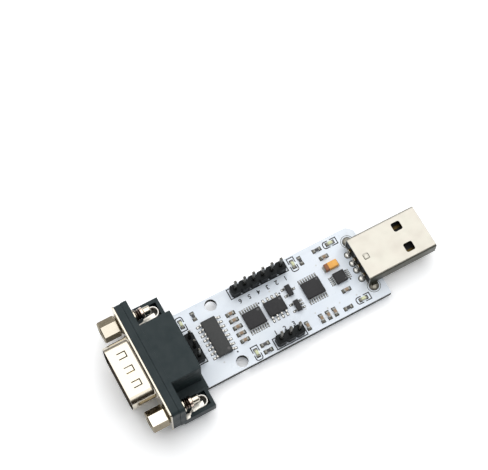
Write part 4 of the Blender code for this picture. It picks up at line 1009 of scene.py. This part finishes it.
away = new("ShaderNodeVectorMath")
away.operation = "LENGTH"
fade = new("ShaderNodeMapRange")
fade.inputs["From Min"].default_value = FADE_START
fade.inputs["From Max"].default_value = FADE_END
far_seen = new("ShaderNodeMath")
far_seen.operation = "MULTIPLY"
white = new("ShaderNodeEmission")
backdrop = new("ShaderNodeMixShader")
hook(PAPER.node_tree, (place, "Object", away, 0), (away, "Value", fade, "Value"),
     (fade, "Result", far_seen, 0), (path, "Is Camera Ray", far_seen, 1),
     (far_seen, "Value", backdrop, "Fac"), (pale, "Shader", backdrop, 1),
     (white, "Emission", backdrop, 2),
     (backdrop, "Shader", nodes["Material Output"], "Surface"))
wear(floor, PAPER)
print("Floor nodes:", len(nodes))

# %% [markdown]
# A broad soft lamp hangs above and behind the module, and a smaller, weak one
# in front of it.

# %% Lamps

def lamp(name, place, size, power):
    """A square area lamp, in mm, turned towards the origin."""
    light = bpy.data.lights.new(name, "AREA")
    light.shape, light.size, light.energy = "SQUARE", size * MM, power
    holder = bpy.data.objects.new(name, light)
    bpy.context.collection.objects.link(holder)
    holder.location = Vector(place) * MM
    holder.rotation_euler = (-Vector(place)).to_track_quat("-Z", "Y").to_euler()


lamp("soft_box", (100, 230, 600), 965, 5.1)
lamp("window", (20, -300, 580), 380, 0.56)
print("Lamps:", [light.name for light in bpy.data.lights])

# %% [markdown]
# Metal shows what is around it, so the sky that it reflects is bright overhead
# and dark near the horizon, which draws the dark edges that plated parts have.
# All else is lit by a weak plain sky, and the camera sees a white one.

# %% World
BRIGHTEST = (0.0, 0.31, 0.95)  # the way to the bright part of the sky
DARK_SKY, BRIGHT_SKY = (0.04, 0.033, 0.025, 1), (0.55, 0.53, 0.50, 1)
DARK_TO, BRIGHT_FROM = 0.20, 0.62
world = bpy.data.worlds.new("studio")
bpy.context.scene.world = world
world.use_nodes = True
nodes = world.node_tree.nodes
new = nodes.new
nodes.clear()
place = new("ShaderNodeTexCoord")
towards = new("ShaderNodeVectorMath")
towards.operation = "DOT_PRODUCT"
towards.inputs[1].default_value = BRIGHTEST
sky = new("ShaderNodeValToRGB")
for stop, position, colour in zip(sky.color_ramp.elements, (DARK_TO, BRIGHT_FROM),
                                  (DARK_SKY, BRIGHT_SKY)):
    stop.position, stop.color = position, colour
path = new("ShaderNodeLightPath")
metal_sky = new("ShaderNodeBackground")
plain_sky = new("ShaderNodeBackground")
plain_sky.inputs["Color"].default_value = (0.93, 0.96, 1.0, 1)
plain_sky.inputs["Strength"].default_value = 0.25
paper_sky = new("ShaderNodeBackground")
paper_sky.inputs["Color"].default_value = (1, 1, 1, 1)
by_gloss, by_camera = new("ShaderNodeMixShader"), new("ShaderNodeMixShader")
out = new("ShaderNodeOutputWorld")
hook(world.node_tree, (place, "Generated", towards, 0), (towards, "Value", sky, "Fac"),
     (sky, "Color", metal_sky, "Color"), (path, "Is Glossy Ray", by_gloss, "Fac"),
     (plain_sky, "Background", by_gloss, 1), (metal_sky, "Background", by_gloss, 2),
     (path, "Is Camera Ray", by_camera, "Fac"), (by_gloss, "Shader", by_camera, 1),
     (paper_sky, "Background", by_camera, 2), (by_camera, "Shader", out, "Surface"))
bpy.context.scene.view_settings.view_transform = "Standard"
print("World nodes:", len(nodes))

# %% [markdown]
# The camera was found by fitting the known pitch of the pins and the known
# sizes of both connectors to their places in the photograph, 488 by 470
# pixels. A turn vector holds the turn from the board's axes to the camera's.

# %% Camera
FOCAL_PIXELS, WIDTH_PIXELS, SENSOR = 1517.86, 488, 36.0
CAMERA_TURN = Vector((2.6899, -0.6837, 0.1485))
CAMERA_PLACE = Vector((MIDDLE - 66.05, -100.1, 356.1))
rows = Quaternion(CAMERA_TURN.normalized(), CAMERA_TURN.length).to_matrix()
camera = bpy.data.objects.new("camera", bpy.data.cameras.new("camera"))
bpy.context.collection.objects.link(camera)
camera.data.sensor_fit = "HORIZONTAL"
camera.data.sensor_width = SENSOR
camera.data.lens = FOCAL_PIXELS / WIDTH_PIXELS * SENSOR
camera.data.clip_start, camera.data.clip_end = 0.01, 10
facing = Matrix((rows[0], -rows[1], -rows[2])).transposed().to_4x4()
camera.matrix_world = Matrix.Translation(CAMERA_PLACE * MM) @ facing
bpy.context.scene.camera = camera
print("Lens, mm:", round(camera.data.lens, 2))
